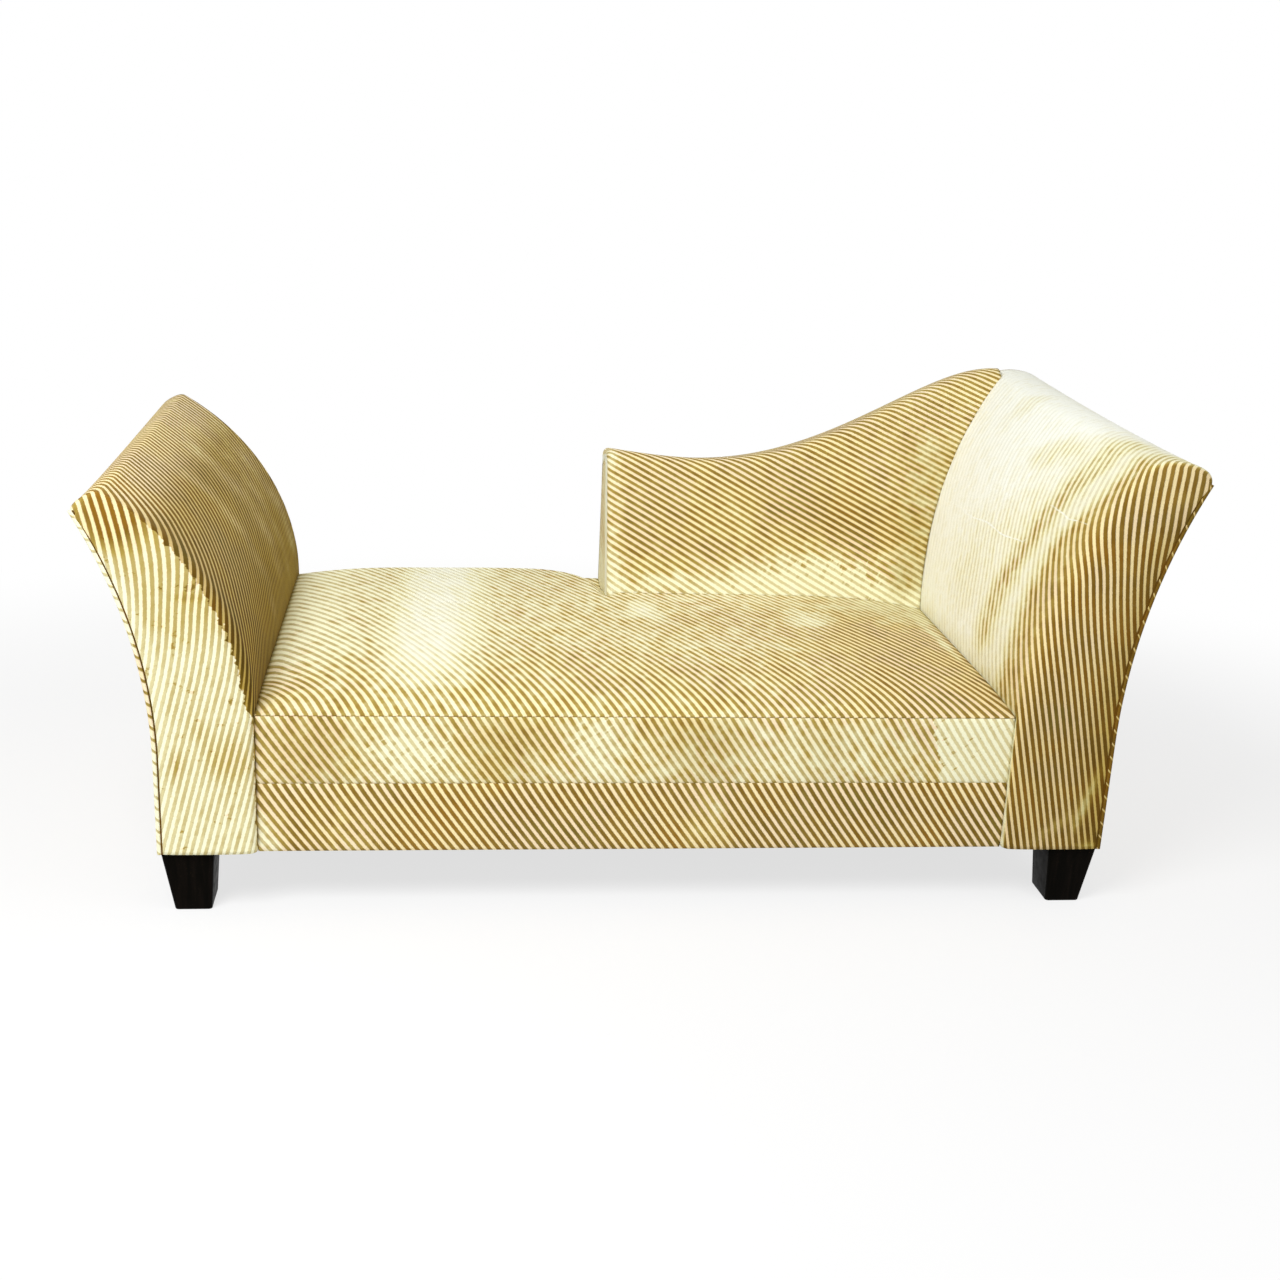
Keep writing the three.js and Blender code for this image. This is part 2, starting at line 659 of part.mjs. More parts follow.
function backSection(x, inset, round, floor, rear) {
  const top = backTop(x) - inset - round;
  const frontRadius = Math.max(backTopRound - inset, cloth);
  const rearRadius = Math.max(backRearRound - inset, cloth);
  const lean = Math.atan(backRecline);
  const front = (z) => backFace(z) + inset + round;
  const middle = new THREE.Vector2(front(top - frontRadius) + frontRadius / Math.cos(lean), top - frontRadius);
  const spring = middle.y + frontRadius * Math.sin(lean);
  const points = [];
  for (let i = 0; i < frontSteps; i += 1) {
    const z = mix(floor, spring, i / frontSteps);
    points.push([x, front(z), z]);
  }
  for (let i = 0; i <= frontRoundSteps; i += 1) {
    const turn = mix(lean, Math.PI / 2, i / frontRoundSteps);
    points.push([x, middle.x - frontRadius * Math.cos(turn), middle.y + frontRadius * Math.sin(turn)]);
  }
  for (let i = 0; i <= rearRoundSteps; i += 1) {
    const turn = mix(0, Math.PI / 2, i / rearRoundSteps);
    points.push([x, rear - rearRadius * (1 - Math.sin(turn)), top - rearRadius * (1 - Math.cos(turn))]);
  }
  points.push([x, rear, floor]);
  return points;
}

const backColumns = 14;

function backForm({ inset = 0, left = 0, floor, back, right = backRight }) {
  const first = -backEnd + left;
  const round = Math.max(backEndRound - Math.max(inset, 0), cloth / 2);
  const places = [];
  for (const s of [0, 0.06, 0.2, 0.5, 1]) places.push([first + round * s, round * (1 - Math.sqrt(1 - (1 - s) ** 2))]);
  for (let i = 1; i <= backColumns; i += 1) places.push([mix(backEndRound - backEnd, peakPlace, i / backColumns), 0]);
  places.push([right, 0]);
  const rings = places.map(([x, d]) => backSection(x, inset, d, floor, back));
  return loft(rings, ([, y, z]) => new THREE.Vector2(y, z));
}

function buildBack() {
  const floor = seamHeight - backTuck;
  const armKeepOut = armForm(rightArm, {
    inset: -clearance, front: -overrun, back: seatDepth + overrun, outerInset: -overrun, drop: overrun,
  });
  const past = { floor: floor - overrun, back: seatDepth + overrun };
  const inside = backForm({
    inset: cloth, left: cloth, right: backRight - cloth, floor: floor - overrun, back: seatDepth - cloth,
  });
  const panelRoom = rearBoard(panelShape(clearance, overrun), cloth + clearance + overrun, seatDepth + overrun);
  addPiece("inside_back_cover", cut(backForm({ floor, back: seatDepth }), inside, panelRoom, armKeepOut), velvet);

  const padInset = cloth + clearance;
  const deep = padInset + backPad;
  const padOuter = backForm({ inset: padInset, left: padInset, floor, back: padBack, right: backRight - padInset });
  const padInside = backForm({ inset: deep, left: -overrun, right: backRight + overrun, ...past });
  addPiece("back_pad", cut(padOuter, padInside, armKeepOut), foam);
  buildOutsideBack(armKeepOut);
  buildBackFrame(armKeepOut, deep + clearance);
}

// The outline of a band along the back's top edge, a height under it at its upper and at its lower edge
function topBand(x0, x1, under, depth) {
  const steps = 20;
  const upper = [];
  const lower = [];
  for (let i = 0; i <= steps; i += 1) {
    const x = mix(x0, x1, i / steps);
    upper.push(new THREE.Vector2(x, backTop(x) - under));
    lower.push(new THREE.Vector2(x, backTop(x) - under - depth));
  }
  return new THREE.Shape([...upper, ...lower.reverse()]);
}

// A flat board standing against the rear, its rear face at y
function rearBoard(shape, thickness, y) {
  const made = new THREE.ExtrudeGeometry(shape, { depth: thickness, bevelEnabled: false });
  return closed(made.rotateX(Math.PI / 2).translate(0, y, 0));
}

// Outline of the outside back panel, grown upwards and, past the sides and the bottom, by another amount
function panelShape(grow, past) {
  const steps = 20;
  const low = borderTop + clearance - past;
  const points = [new THREE.Vector2(-backEnd - past, low), new THREE.Vector2(backRight + past, low)];
  for (let i = steps; i >= 0; i -= 1) {
    const x = mix(-backEnd, backRight, i / steps);
    points.push(new THREE.Vector2(x, backTop(x) - backLap + grow));
  }
  points.push(new THREE.Vector2(-backEnd - past, points.at(-1).y));
  points.splice(2, 0, new THREE.Vector2(backRight + past, points[2].y));
  return new THREE.Shape(points);
}

function buildOutsideBack(armKeepOut) {
  const panel = rearBoard(panelShape(0, 0), cloth, seatDepth);
  addPiece("outside_back_panel", cut(panel, armKeepOut), velvet);
}

// Back frame: posts before the rear rail, a swept board along the top and a rail above the seat deck
function buildBackFrame(armKeepOut, inset) {
  const boardFront = padBack - railThickness;
  const rear = boardFront - clearance;
  const firstPost = -backEnd + cloth + clearance;
  const form = backForm({
    inset, left: -overrun, floor: footHeight - overrun, back: seatDepth, right: backRight + overrun,
  });
  const space = cut(form, armKeepOut);
  const headPost = half - headPostInset;
  const posts = { back_end_post: firstPost, back_middle_post: middlePostPlace, back_head_post: headPost };
  for (const [name, x] of Object.entries(posts)) {
    const ring = (px) => [
      [px, rear - postFoot, footHeight], [px, rear - postFoot, postBottom], [px, backFront - boardHeight, postBottom],
      [px, backFront - boardHeight, peakHeight], [px, rear, peakHeight], [px, rear, footHeight],
    ];
    const blank = loft([ring(x), ring(x + railThickness)], ([, y, z]) => new THREE.Vector2(y, z));
    addPiece(name, common(blank, space), hardwood);
  }
  const lowRail = box(firstPost, half - clearance, boardFront, padBack, postBottom, postBottom + lowerRailHeight);
  addPiece("back_lower_rail", lowRail, hardwood);
  const band = topBand(firstPost, half + rightInnerLean - armPad, cloth, boardHeight + inset);
  addPiece("back_top_board", common(rearBoard(band, railThickness, padBack), space), hardwood);
}

// Dust cover under the frame, set back at the seat front and notched round the feet
function buildDustCover() {
  const left = half + leftArmThickness - dustCoverMargin;
  const right = half + rightArmThickness - dustCoverMargin;
  const front = armFront + dustCoverMargin;
  const rear = seatDepth - dustCoverMargin;
  const notch = footTopWidth + dustCoverMargin;
  const deep = footTopDepth + dustCoverMargin;
  const inset = half + dustCoverMargin;
  const v = (x, y) => new THREE.Vector2(x, y);
  const plan = new THREE.Shape([
    v(-left, front + deep), v(-left + notch, front + deep), v(-left + notch, front), v(-inset, front),
    v(-inset, dustCoverMargin), v(inset, dustCoverMargin), v(inset, front), v(right - notch, front),
    v(right - notch, front + deep), v(right, front + deep), v(right, rear - deep), v(right - notch, rear - deep),
    v(right - notch, rear), v(-left + notch, rear), v(-left + notch, rear - deep), v(-left, rear - deep),
  ]);
  const made = new THREE.ExtrudeGeometry(plan, { depth: dustCoverThickness, bevelEnabled: false });
  const low = footHeight - clearance - dustCoverThickness;
  addPiece("dust_cover", closed(made.translate(0, 0, low)), blackCloth);
}

buildSeatFrame();
buildSuspension();
buildDeck();
buildSeat();
buildBack();
for (const [arm, name] of [[leftArm, "left"], [rightArm, "right"]]) {
  buildArm(arm, name);
  buildFeet(arm, name);
}
buildDustCover();

// Origin on the floor, under the middle of the whole piece
const extent = new THREE.Box3().setFromObject(recamier);
const middle = extent.getCenter(new THREE.Vector3());
recamier.position.set(-middle.x, -middle.y, -extent.min.z);

export default recamier;
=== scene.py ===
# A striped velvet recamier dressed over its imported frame. Shapes are worked out in millimetres from the
# middle of the seat's front edge (x across, y to the rear, z up) and moved into the frame with each mesh.
import json
import math

import bmesh
import bpy
import numpy as np
from mathutils import Matrix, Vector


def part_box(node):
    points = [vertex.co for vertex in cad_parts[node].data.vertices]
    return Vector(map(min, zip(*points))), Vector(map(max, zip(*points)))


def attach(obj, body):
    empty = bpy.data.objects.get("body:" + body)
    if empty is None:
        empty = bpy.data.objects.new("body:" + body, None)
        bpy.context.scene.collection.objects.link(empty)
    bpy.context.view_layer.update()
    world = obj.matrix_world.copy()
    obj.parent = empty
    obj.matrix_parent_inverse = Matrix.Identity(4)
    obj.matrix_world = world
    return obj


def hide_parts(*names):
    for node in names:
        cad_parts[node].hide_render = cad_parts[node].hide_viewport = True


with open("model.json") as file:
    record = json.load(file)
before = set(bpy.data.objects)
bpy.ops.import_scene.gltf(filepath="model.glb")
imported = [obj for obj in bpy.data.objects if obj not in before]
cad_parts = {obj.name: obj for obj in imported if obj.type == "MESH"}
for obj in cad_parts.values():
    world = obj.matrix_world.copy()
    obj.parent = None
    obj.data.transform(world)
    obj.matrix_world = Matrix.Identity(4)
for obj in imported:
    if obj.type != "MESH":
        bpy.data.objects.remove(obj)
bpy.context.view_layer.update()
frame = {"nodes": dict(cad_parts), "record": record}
borderLow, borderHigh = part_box("front_border")
seatOrigin = np.array([(borderLow.x + borderHigh.x) / 2, borderLow.y, 0.0])
print("frame loaded:", len(frame["nodes"]), "nodes")


def toFrame(points):
    return np.asarray(points, float) / 1000 + seatOrigin


def addObject(name, data):
    made = bpy.data.objects.new(name, data)
    bpy.context.scene.collection.objects.link(made)
    return made


# Puts a camera or lamp at a place in the frame, by the directions of its right, its top and its rear
def stand(holder, place, *sides):
    turned = Matrix(np.stack(sides, 1).tolist()).to_4x4()
    holder.matrix_world = Matrix.Translation(place) @ turned


# Camera: where it stands and how it is turned, fitted to the photograph; the lens on a 36 mm square frame
cameraView = {"place": (-360.8, -2743.9, 1420.1), "yaw": 7.147, "pitch": 17.982, "roll": 2.742,
              "lens": 45.64}


def addCamera(view):
    yaw, pitch, roll = (math.radians(view[k]) for k in ("yaw", "pitch", "roll"))
    ahead = np.array([math.sin(yaw) * math.cos(pitch), math.cos(yaw) * math.cos(pitch), -math.sin(pitch)])
    level = np.array([math.cos(yaw), -math.sin(yaw), 0.0])
    above = np.cross(level, ahead)
    right = math.cos(roll) * level + math.sin(roll) * above
    up = -math.sin(roll) * level + math.cos(roll) * above
    camera = addObject("viewCamera", bpy.data.cameras.new("viewCamera"))
    camera.data.sensor_width = 36
    camera.data.sensor_height = 36
    camera.data.lens = view["lens"]
    camera.data.clip_end = 60
    stand(camera, toFrame(view["place"]).tolist(), right, up, -ahead)
    bpy.context.scene.camera = camera


addCamera(cameraView)
bpy.context.scene.view_settings.view_transform = "Standard"
print("camera set")


# Shader maths as Python expressions: a wire is one output socket in a tree of nodes
class Wire:
    def __init__(self, nodes, socket):
        self.nodes = nodes
        self.socket = socket

    def __add__(self, other):
        return self.nodes.maths("ADD", self, other)

    def __sub__(self, other):
        return self.nodes.maths("SUBTRACT", self, other)

    def __rsub__(self, other):
        return self.nodes.maths("SUBTRACT", other, self)

    def __mul__(self, other):
        return self.nodes.maths("MULTIPLY", self, other)


class Nodes:
    def __init__(self, tree):
        self.tree = tree

    # A node of any type: its settings first, then the values or wires of its sockets
    def node(self, kind, settings=None, values=None, output=0):
        made = self.tree.nodes.new(kind)
        for key, value in (settings or {}).items():
            setattr(made, key, value)
        for key, value in (values or {}).items():
            self.join(value, made.inputs[key])
        return Wire(self, made.outputs[output])

    def join(self, value, socket):
        if isinstance(value, Wire):
            self.tree.links.new(value.socket, socket)
        else:
            socket.default_value = value

    def maths(self, operation, first, second=0.0, clamped=False):
        settings = {"operation": operation, "use_clamp": clamped}
        return self.node("ShaderNodeMath", settings, {0: first, 1: second})

    # Which rays see a surface: the largest of several outputs of the light path
    def rays(self, *kinds):
        found = self.node("ShaderNodeLightPath", output=kinds[0])
        for kind in kinds[1:]:
            found = self.maths("MAXIMUM", found, self.node("ShaderNodeLightPath", output=kind))
        return found


class Finish(Nodes):
    def __init__(self, name, surface):
        self.material = bpy.data.materials.new(name)
        self.material.use_nodes = True
        super().__init__(self.material.node_tree)
        self.shader = self.tree.nodes["Principled BSDF"]
        for key, value in surface.items():
            self.shader.inputs[key].default_value = value

    def into(self, **inputs):
        for key, value in inputs.items():
            self.join(value, self.shader.inputs[key.replace("_", " ")])

    def place(self, scale=(1, 1, 1)):
        at = self.node("ShaderNodeTexCoord", output="Object")
        return self.node("ShaderNodeMapping", None, {"Vector": at, "Scale": scale})

    def point(self, x, y, z=0.0):
        return self.node("ShaderNodeCombineXYZ", None, {0: x, 1: y, 2: z})

    def axis(self, at, number):
        return self.node("ShaderNodeSeparateXYZ", None, {0: at}, output=number)

    def noise(self, at, scale, detail=2.0, roughness=0.5):
        values = {"Vector": at, "Scale": scale, "Detail": detail, "Roughness": roughness}
        return self.node("ShaderNodeTexNoise", {"normalize": True}, values)

    def ramp(self, value, low, high, start=0.0, end=1.0):
        values = {"Value": value, "From Min": low, "From Max": high, "To Min": start, "To Max": end}
        return self.node("ShaderNodeMapRange", {"interpolation_type": "SMOOTHSTEP"}, values)

    def clip(self, value):
        return self.maths("ADD", value, clamped=True)

    def blend(self, share, first, second, kind="MIX"):
        settings = {"data_type": "RGBA", "blend_type": kind}
        return self.node("ShaderNodeMix", settings, {0: share, 6: first, 7: second}, output=2)

    def bump(self, height, distance, strength=1.0):
        values = {"Height": height, "Distance": distance, "Strength": strength}
        self.into(Normal=self.node("ShaderNodeBump", None, values))


# sRGB 0 to 255 to a linear colour
def colour(red, green, blue):
    share = np.array([red, green, blue]) / 255
    return (*np.where(share <= 0.04045, share / 12.92, ((share + 0.055) / 1.055) ** 2.4), 1.0)


# Velvet: gold pile stripes over a cream ground, worn pale in places, with painted light that turns it pale or
# white where it is lit and painted shade that sinks it to an olive tint where it is not.
# Each noise has a scale, a detail and a roughness.
velvetLook = {
    "gold": colour(118, 90, 23), "olive": colour(112, 94, 30), "amber": colour(142, 100, 24),
    "faded": colour(174, 150, 72), "wornGold": colour(220, 209, 157),
    "cream": colour(252, 233, 180), "rosyCream": colour(249, 226, 187), "wornCream": colour(254, 252, 217),
    "bleachedAndLit": colour(254, 255, 243), "paintedShade": (0.53, 0.45, 0.12, 1.0),
    "ragged": 0.42, "frayAndPaintedLight": 0.6, "mottle": 0.6, "tufts": 0.5, "jagged": 1.5, "waver": 0.12, "nibble": 1.3,
    "pileHeight": 0.0011,
    "streakNoise": (1.0, 3.0, 0.65), "mottleNoise": (24.0, 3.0, 0.6), "jagNoise": (1.0, 2.0, 0.6),
    "tuftsNoise": (28.0, 4.0, 0.7), "edgeNoise": (1.6, 3.0, 0.65), "nibbleNoise": (170.0, 2.0, 0.5),
    "slowNoise": (8.0, 3.0, 0.6), "pileNoise": (1.0, 3.0, 0.75),
}
fieldNames = ("wearAndPaintedLight", "paintedShade", "frayAndPaintedLight", "scratch")


def velvetFinish(look):
    surface = {"Roughness": 0.9, "Sheen Weight": 0.04, "Sheen Roughness": 0.45,
               "Sheen Tint": (1, 0.9, 0.6, 1), "Specular IOR Level": 0.15}
    made = Finish("stripedVelvet", surface)
    stripes = made.node("ShaderNodeUVMap", {"uv_map": "stripes"})
    across, along = made.axis(stripes, 0), made.axis(stripes, 1)
    wearAndPaintedLight, paintedShade, frayAndPaintedLight, scratch = (
        made.node("ShaderNodeAttribute", {"attribute_name": name}, output="Fac") for name in fieldNames)

    # Each stripe's own number, so that wear and painted light end at a different place on every stripe
    own = made.maths("FLOOR", across + 0.25)
    streak = made.ramp(made.noise(made.point(own * 3.7, along * 0.3), *look["streakNoise"]), 0.3, 0.7) - 0.5
    mottle = (made.noise(made.place(), *look["mottleNoise"]) - 0.5) * look["mottle"]
    mottle = mottle * made.ramp(wearAndPaintedLight, 0.1, 0.5)
    # Rubbed pile and painted light end in a sharp jagged edge, a step at every stripe
    jag = (made.noise(made.point(own * 5.3, along * 0.9, 4.0), *look["jagNoise"]) - 0.5) * look["jagged"]
    rubbedAndLit = made.ramp(frayAndPaintedLight + jag, 0.44, 0.56)
    # Tufts of fresh pile left standing in the rubbed and painted-lit places
    tufts = made.ramp(made.noise(made.place((1, 1, 1.6)), *look["tuftsNoise"]), 0.6, 0.68)
    tufts = tufts * rubbedAndLit * look["tufts"]
    uneven = streak * look["ragged"]
    wornAndLit = wearAndPaintedLight + mottle - tufts + rubbedAndLit * look["frayAndPaintedLight"]
    wornAndLit = made.clip(wornAndLit + uneven * made.ramp(wearAndPaintedLight, 0.0, 0.5, 0.25, 1.0))
    offLine = made.maths("ABSOLUTE", scratch - 1.0)
    scored = made.ramp(offLine, 0.008, 0.02, 1.0, 0.0) * made.ramp(streak, -0.4, 0.1, 0.3, 1.0)
    # Painted light: past a wear of 1 the cloth goes white, as where the light falls full on the right arm's
    # inside; a scratch also goes white
    bleachAndLight = made.clip(wearAndPaintedLight - 1.0 + uneven * made.ramp(wearAndPaintedLight, 0.8, 1.1) + scored)

    edge = (made.noise(made.point(across * 0.8, along * 1.6), *look["edgeNoise"]) - 0.5) * look["waver"]
    wave = made.maths("SINE", (across + edge) * (2 * math.pi))
    nibble = (made.noise(made.place(), *look["nibbleNoise"]) - 0.5) * wornAndLit * look["nibble"]
    # Under painted shade the gold stripes widen; with wear and painted light they narrow
    pile = made.ramp(wave + nibble + 0.2 + paintedShade * 0.2 - wornAndLit * 0.4, -0.45, 0.45)

    slow = made.noise(made.place(), *look["slowNoise"])
    tuft = made.noise(made.point(across * 9.0, along * 5.0), *look["pileNoise"])
    gold = made.blend(made.ramp(slow, 0.42, 0.7), look["gold"], look["amber"])
    gold = made.blend(made.ramp(slow, 0.32, 0.48), look["olive"], gold)
    gold = made.blend(made.clip(wornAndLit * 2), gold, look["faded"])
    gold = made.blend(made.clip(wornAndLit * 2 - 1.0), gold, look["wornGold"])
    cream = made.blend(made.ramp(slow, 0.4, 0.6), look["rosyCream"], look["cream"])
    cream = made.blend(made.ramp(wornAndLit, 0.25, 0.95), cream, look["wornCream"])
    cloth = made.blend(pile, cream, gold)
    cloth = made.blend(bleachAndLight, cloth, look["bleachedAndLit"])
    fleck = made.ramp(tuft, 0.25, 0.75, 0.9, 1.06)
    fleck = made.node("ShaderNodeCombineColor", None, {0: fleck, 1: fleck, 2: fleck})
    cloth = made.blend(1.0, cloth, fleck, "MULTIPLY")
    # Painted shade: the cloth is multiplied by an olive tint where it lies in shade, but not where painted
    # light is
    cloth = made.blend(paintedShade * (1.0 - rubbedAndLit), cloth, made.blend(1.0, cloth, look["paintedShade"], "MULTIPLY"))
    made.into(Base_Color=cloth, Roughness=made.ramp(tuft, 0.2, 0.8, 0.84, 0.96))
    made.bump(pile * 0.7 + tuft * 0.35, look["pileHeight"], 0.9)
    return made.material


velvet = velvetFinish(velvetLook)

# Feet: near-black stain over a close grain, with a satin lacquer
footLook = {"dark": colour(6, 5, 3), "warm": colour(18, 13, 9), "grain": (90.0, 90.0, 9.0)}


def footFinish(look):
    made = Finish("darkFoot", {"Roughness": 0.5, "Specular IOR Level": 0.025})
    grain = made.noise(made.place(look["grain"]), 1.0, 6.0, 0.62)
    dust = made.noise(made.place(), 60.0, 4.0, 0.6)
    made.into(Base_Color=made.blend(made.ramp(grain, 0.35, 0.75), look["dark"], look["warm"]))
    made.into(Roughness=made.ramp(dust, 0.3, 0.8, 0.36, 0.55))
    made.bump(grain, 0.0002, 0.6)
    return made.material


# Hidden parts: two colours mixed by a noise that also stands up a little. The noise has a stretch, a scale,
# a detail and a roughness; a range sharpens it, and gloss makes the surface uneven.
hiddenLooks = {
    "hardwood": {
        "name": "frameTimber", "surface": {"Roughness": 0.7}, "stretch": (6.0, 70.0, 70.0),
        "noise": (1.0, 6.0, 0.65), "range": (0.3, 0.7), "bump": (0.0004, 0.5),
        "deep": colour(158, 116, 72), "pale": colour(206, 170, 122),
    },
    "foam": {
        "name": "padding", "surface": {"Roughness": 1.0}, "stretch": (1, 1, 1),
        "noise": (420.0, 3.0, 0.7), "bump": (0.0008, 0.7),
        "deep": colour(214, 198, 156), "pale": colour(238, 228, 194),
    },
    "dust_cloth": {
        "name": "dustCloth", "surface": {"Roughness": 0.95}, "stretch": (500, 500, 500),
        "noise": (1.0, 4.0, 0.7), "bump": (0.0003, 0.6),
        "deep": colour(22, 22, 23), "pale": colour(40, 40, 41),
    },
    "bolt_steel": {
        "name": "boltSteel", "surface": {"Metallic": 1.0}, "stretch": (400, 400, 60),
        "noise": (1.0, 4.0, 0.6), "gloss": (0.28, 0.5),
        "deep": colour(120, 120, 124), "pale": colour(176, 176, 178),
    },
}
juteLook = {"pale": colour(186, 154, 104), "deep": colour(118, 92, 56), "threads": 420.0}


def hiddenFinish(look):
    made = Finish(look["name"], look["surface"])
    grain = made.noise(made.place(look["stretch"]), *look["noise"])
    share = made.ramp(grain, *look["range"]) if "range" in look else grain
    made.into(Base_Color=made.blend(share, look["deep"], look["pale"]))
    if "gloss" in look:
        made.into(Roughness=made.ramp(grain, 0.3, 0.7, *look["gloss"]))
    if "bump" in look:
        made.bump(grain, *look["bump"])
    return made.material


def juteFinish(look):
    made = Finish("jute", {"Roughness": 0.95})
    turns = 2 * math.pi * look["threads"]
    warp, weft = (made.maths("SINE", made.axis(made.place(), i) * turns) for i in (0, 1))
    weave = made.ramp(warp * weft, -0.8, 0.8)
    slubs = made.noise(made.place((40, 300, 40)), 1.0, 4.0, 0.6)
    made.into(Base_Color=made.blend(weave * 0.6 + slubs * 0.4, look["deep"], look["pale"]))
    made.bump(weave, 0.0006, 0.8)
    return made.material


darkFoot = footFinish(footLook)
slotFinish = {"striped_velvet": velvet, "foot_finish": darkFoot, "jute": juteFinish(juteLook)}
slotFinish.update({slot: hiddenFinish(look) for slot, look in hiddenLooks.items()})
for part in frame["record"]["subparts"]:
    node = frame["nodes"][part["node"]]
    node.data.materials.clear()
    node.data.materials.append(slotFinish[part["material_slot"]])
print("finishes made:", len(slotFinish))


# Quads over a grid of points, by cell
def gridCells(rows, columns):
    index = np.arange(rows * columns).reshape(rows, columns)
    return np.stack([index[:-1, :-1], index[:-1, 1:], index[1:, 1:], index[1:, :-1]], -1)


# The same quads, turned over if they enclose their points inside out
def outward(points, quads):
    a, b, c, d = (points[quads[:, i]] for i in range(4))
    volume = (np.cross(b - a, c - a) * a).sum() + (np.cross(c - a, d - a) * a).sum()
    return quads[:, ::-1] if volume < 0 else quads


# A mesh with its stripe coordinates as a UV map and its wear, painted light and painted shade as attributes,
# 0 where none are given
def addMesh(name, points, faces, smooth, fields, replaced, finish=velvet, slot="striped_velvet"):
    mesh = bpy.data.meshes.new(name)
    mesh.from_pydata(toFrame(points).tolist(), [], faces.tolist())
    mesh.polygons.foreach_set("use_smooth", np.broadcast_to(smooth, len(faces)).copy())
    corner = np.zeros(len(mesh.loops), int)
    mesh.loops.foreach_get("vertex_index", corner)
    blank = np.zeros(len(points))
    uv = np.stack([fields.get(key, blank)[corner] for key in ("across", "along")], 1)
    mesh.uv_layers.new(name="stripes").data.foreach_set("uv", uv.ravel())
    for key in fieldNames:
        mesh.attributes.new(key, "FLOAT", "POINT").data.foreach_set("value", fields.get(key, blank))
    work = bmesh.new()
    work.from_mesh(mesh)
    bmesh.ops.remove_doubles(work, verts=work.verts, dist=2e-6)
    loose = [v for v in work.verts if not v.link_faces]
    bmesh.ops.delete(work, geom=loose, context="VERTS")
    work.to_mesh(mesh)
    work.free()
    piece = addObject(name, mesh)
    mesh.materials.append(finish)
    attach(piece, "root")
    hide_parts(*replaced)
    return piece


# A closed piece from two sheets of points on the same grid: quads over the outer sheet, the same turned over
# on the inner one, and a strip round every open edge of the cells that are kept
def addShell(name, outer, inner, fields, replaced, keep=slice(None), **kind):
    cells = gridCells(*outer.shape[:2])[keep].reshape(-1, 4)
    total = outer[..., 0].size
    edges = np.concatenate([cells[:, [i, (i + 1) % 4]] for i in range(4)])
    forward = edges[:, 0] * total + edges[:, 1]
    backward = edges[:, 1] * total + edges[:, 0]
    rim = edges[~np.isin(forward, backward)]
    strip = np.stack([rim[:, 1], rim[:, 0], rim[:, 0] + total, rim[:, 1] + total], 1)
    quads = np.concatenate([cells, cells[:, ::-1] + total, strip])
    points = np.concatenate([outer.reshape(-1, 3), inner.reshape(-1, 3)])
    smooth = np.arange(len(quads)) < 2 * len(cells)
    both = {key: np.concatenate([value.reshape(-1)] * 2) for key, value in fields.items()}
    return addMesh(name, points, outward(points, quads), smooth, both, replaced, **kind)


def mix(a, b, share):
    return a + (b - a) * share


def clamp(value):
    return np.clip(value, 0, 1)


def soft(value, low, high):
    t = clamp((value - low) / (high - low))
    return t * t * (3 - 2 * t)


# A dome over a share from 0 to 1, flatter in the middle for a higher power
def dome(share, power):
    return 1 - (2 * share - 1) ** power


# A soft patch round a place: 1 in the middle, falling off over its two half-widths, turned by an angle
def patch(x, y, at, reach, turn=0.0):
    c, s = math.cos(math.radians(turn)), math.sin(math.radians(turn))
    u = ((x - at[0]) * c + (y - at[1]) * s) / reach[0]
    v = (-(x - at[0]) * s + (y - at[1]) * c) / reach[1]
    return np.exp(-(u ** 2 + v ** 2) ** 1.5)


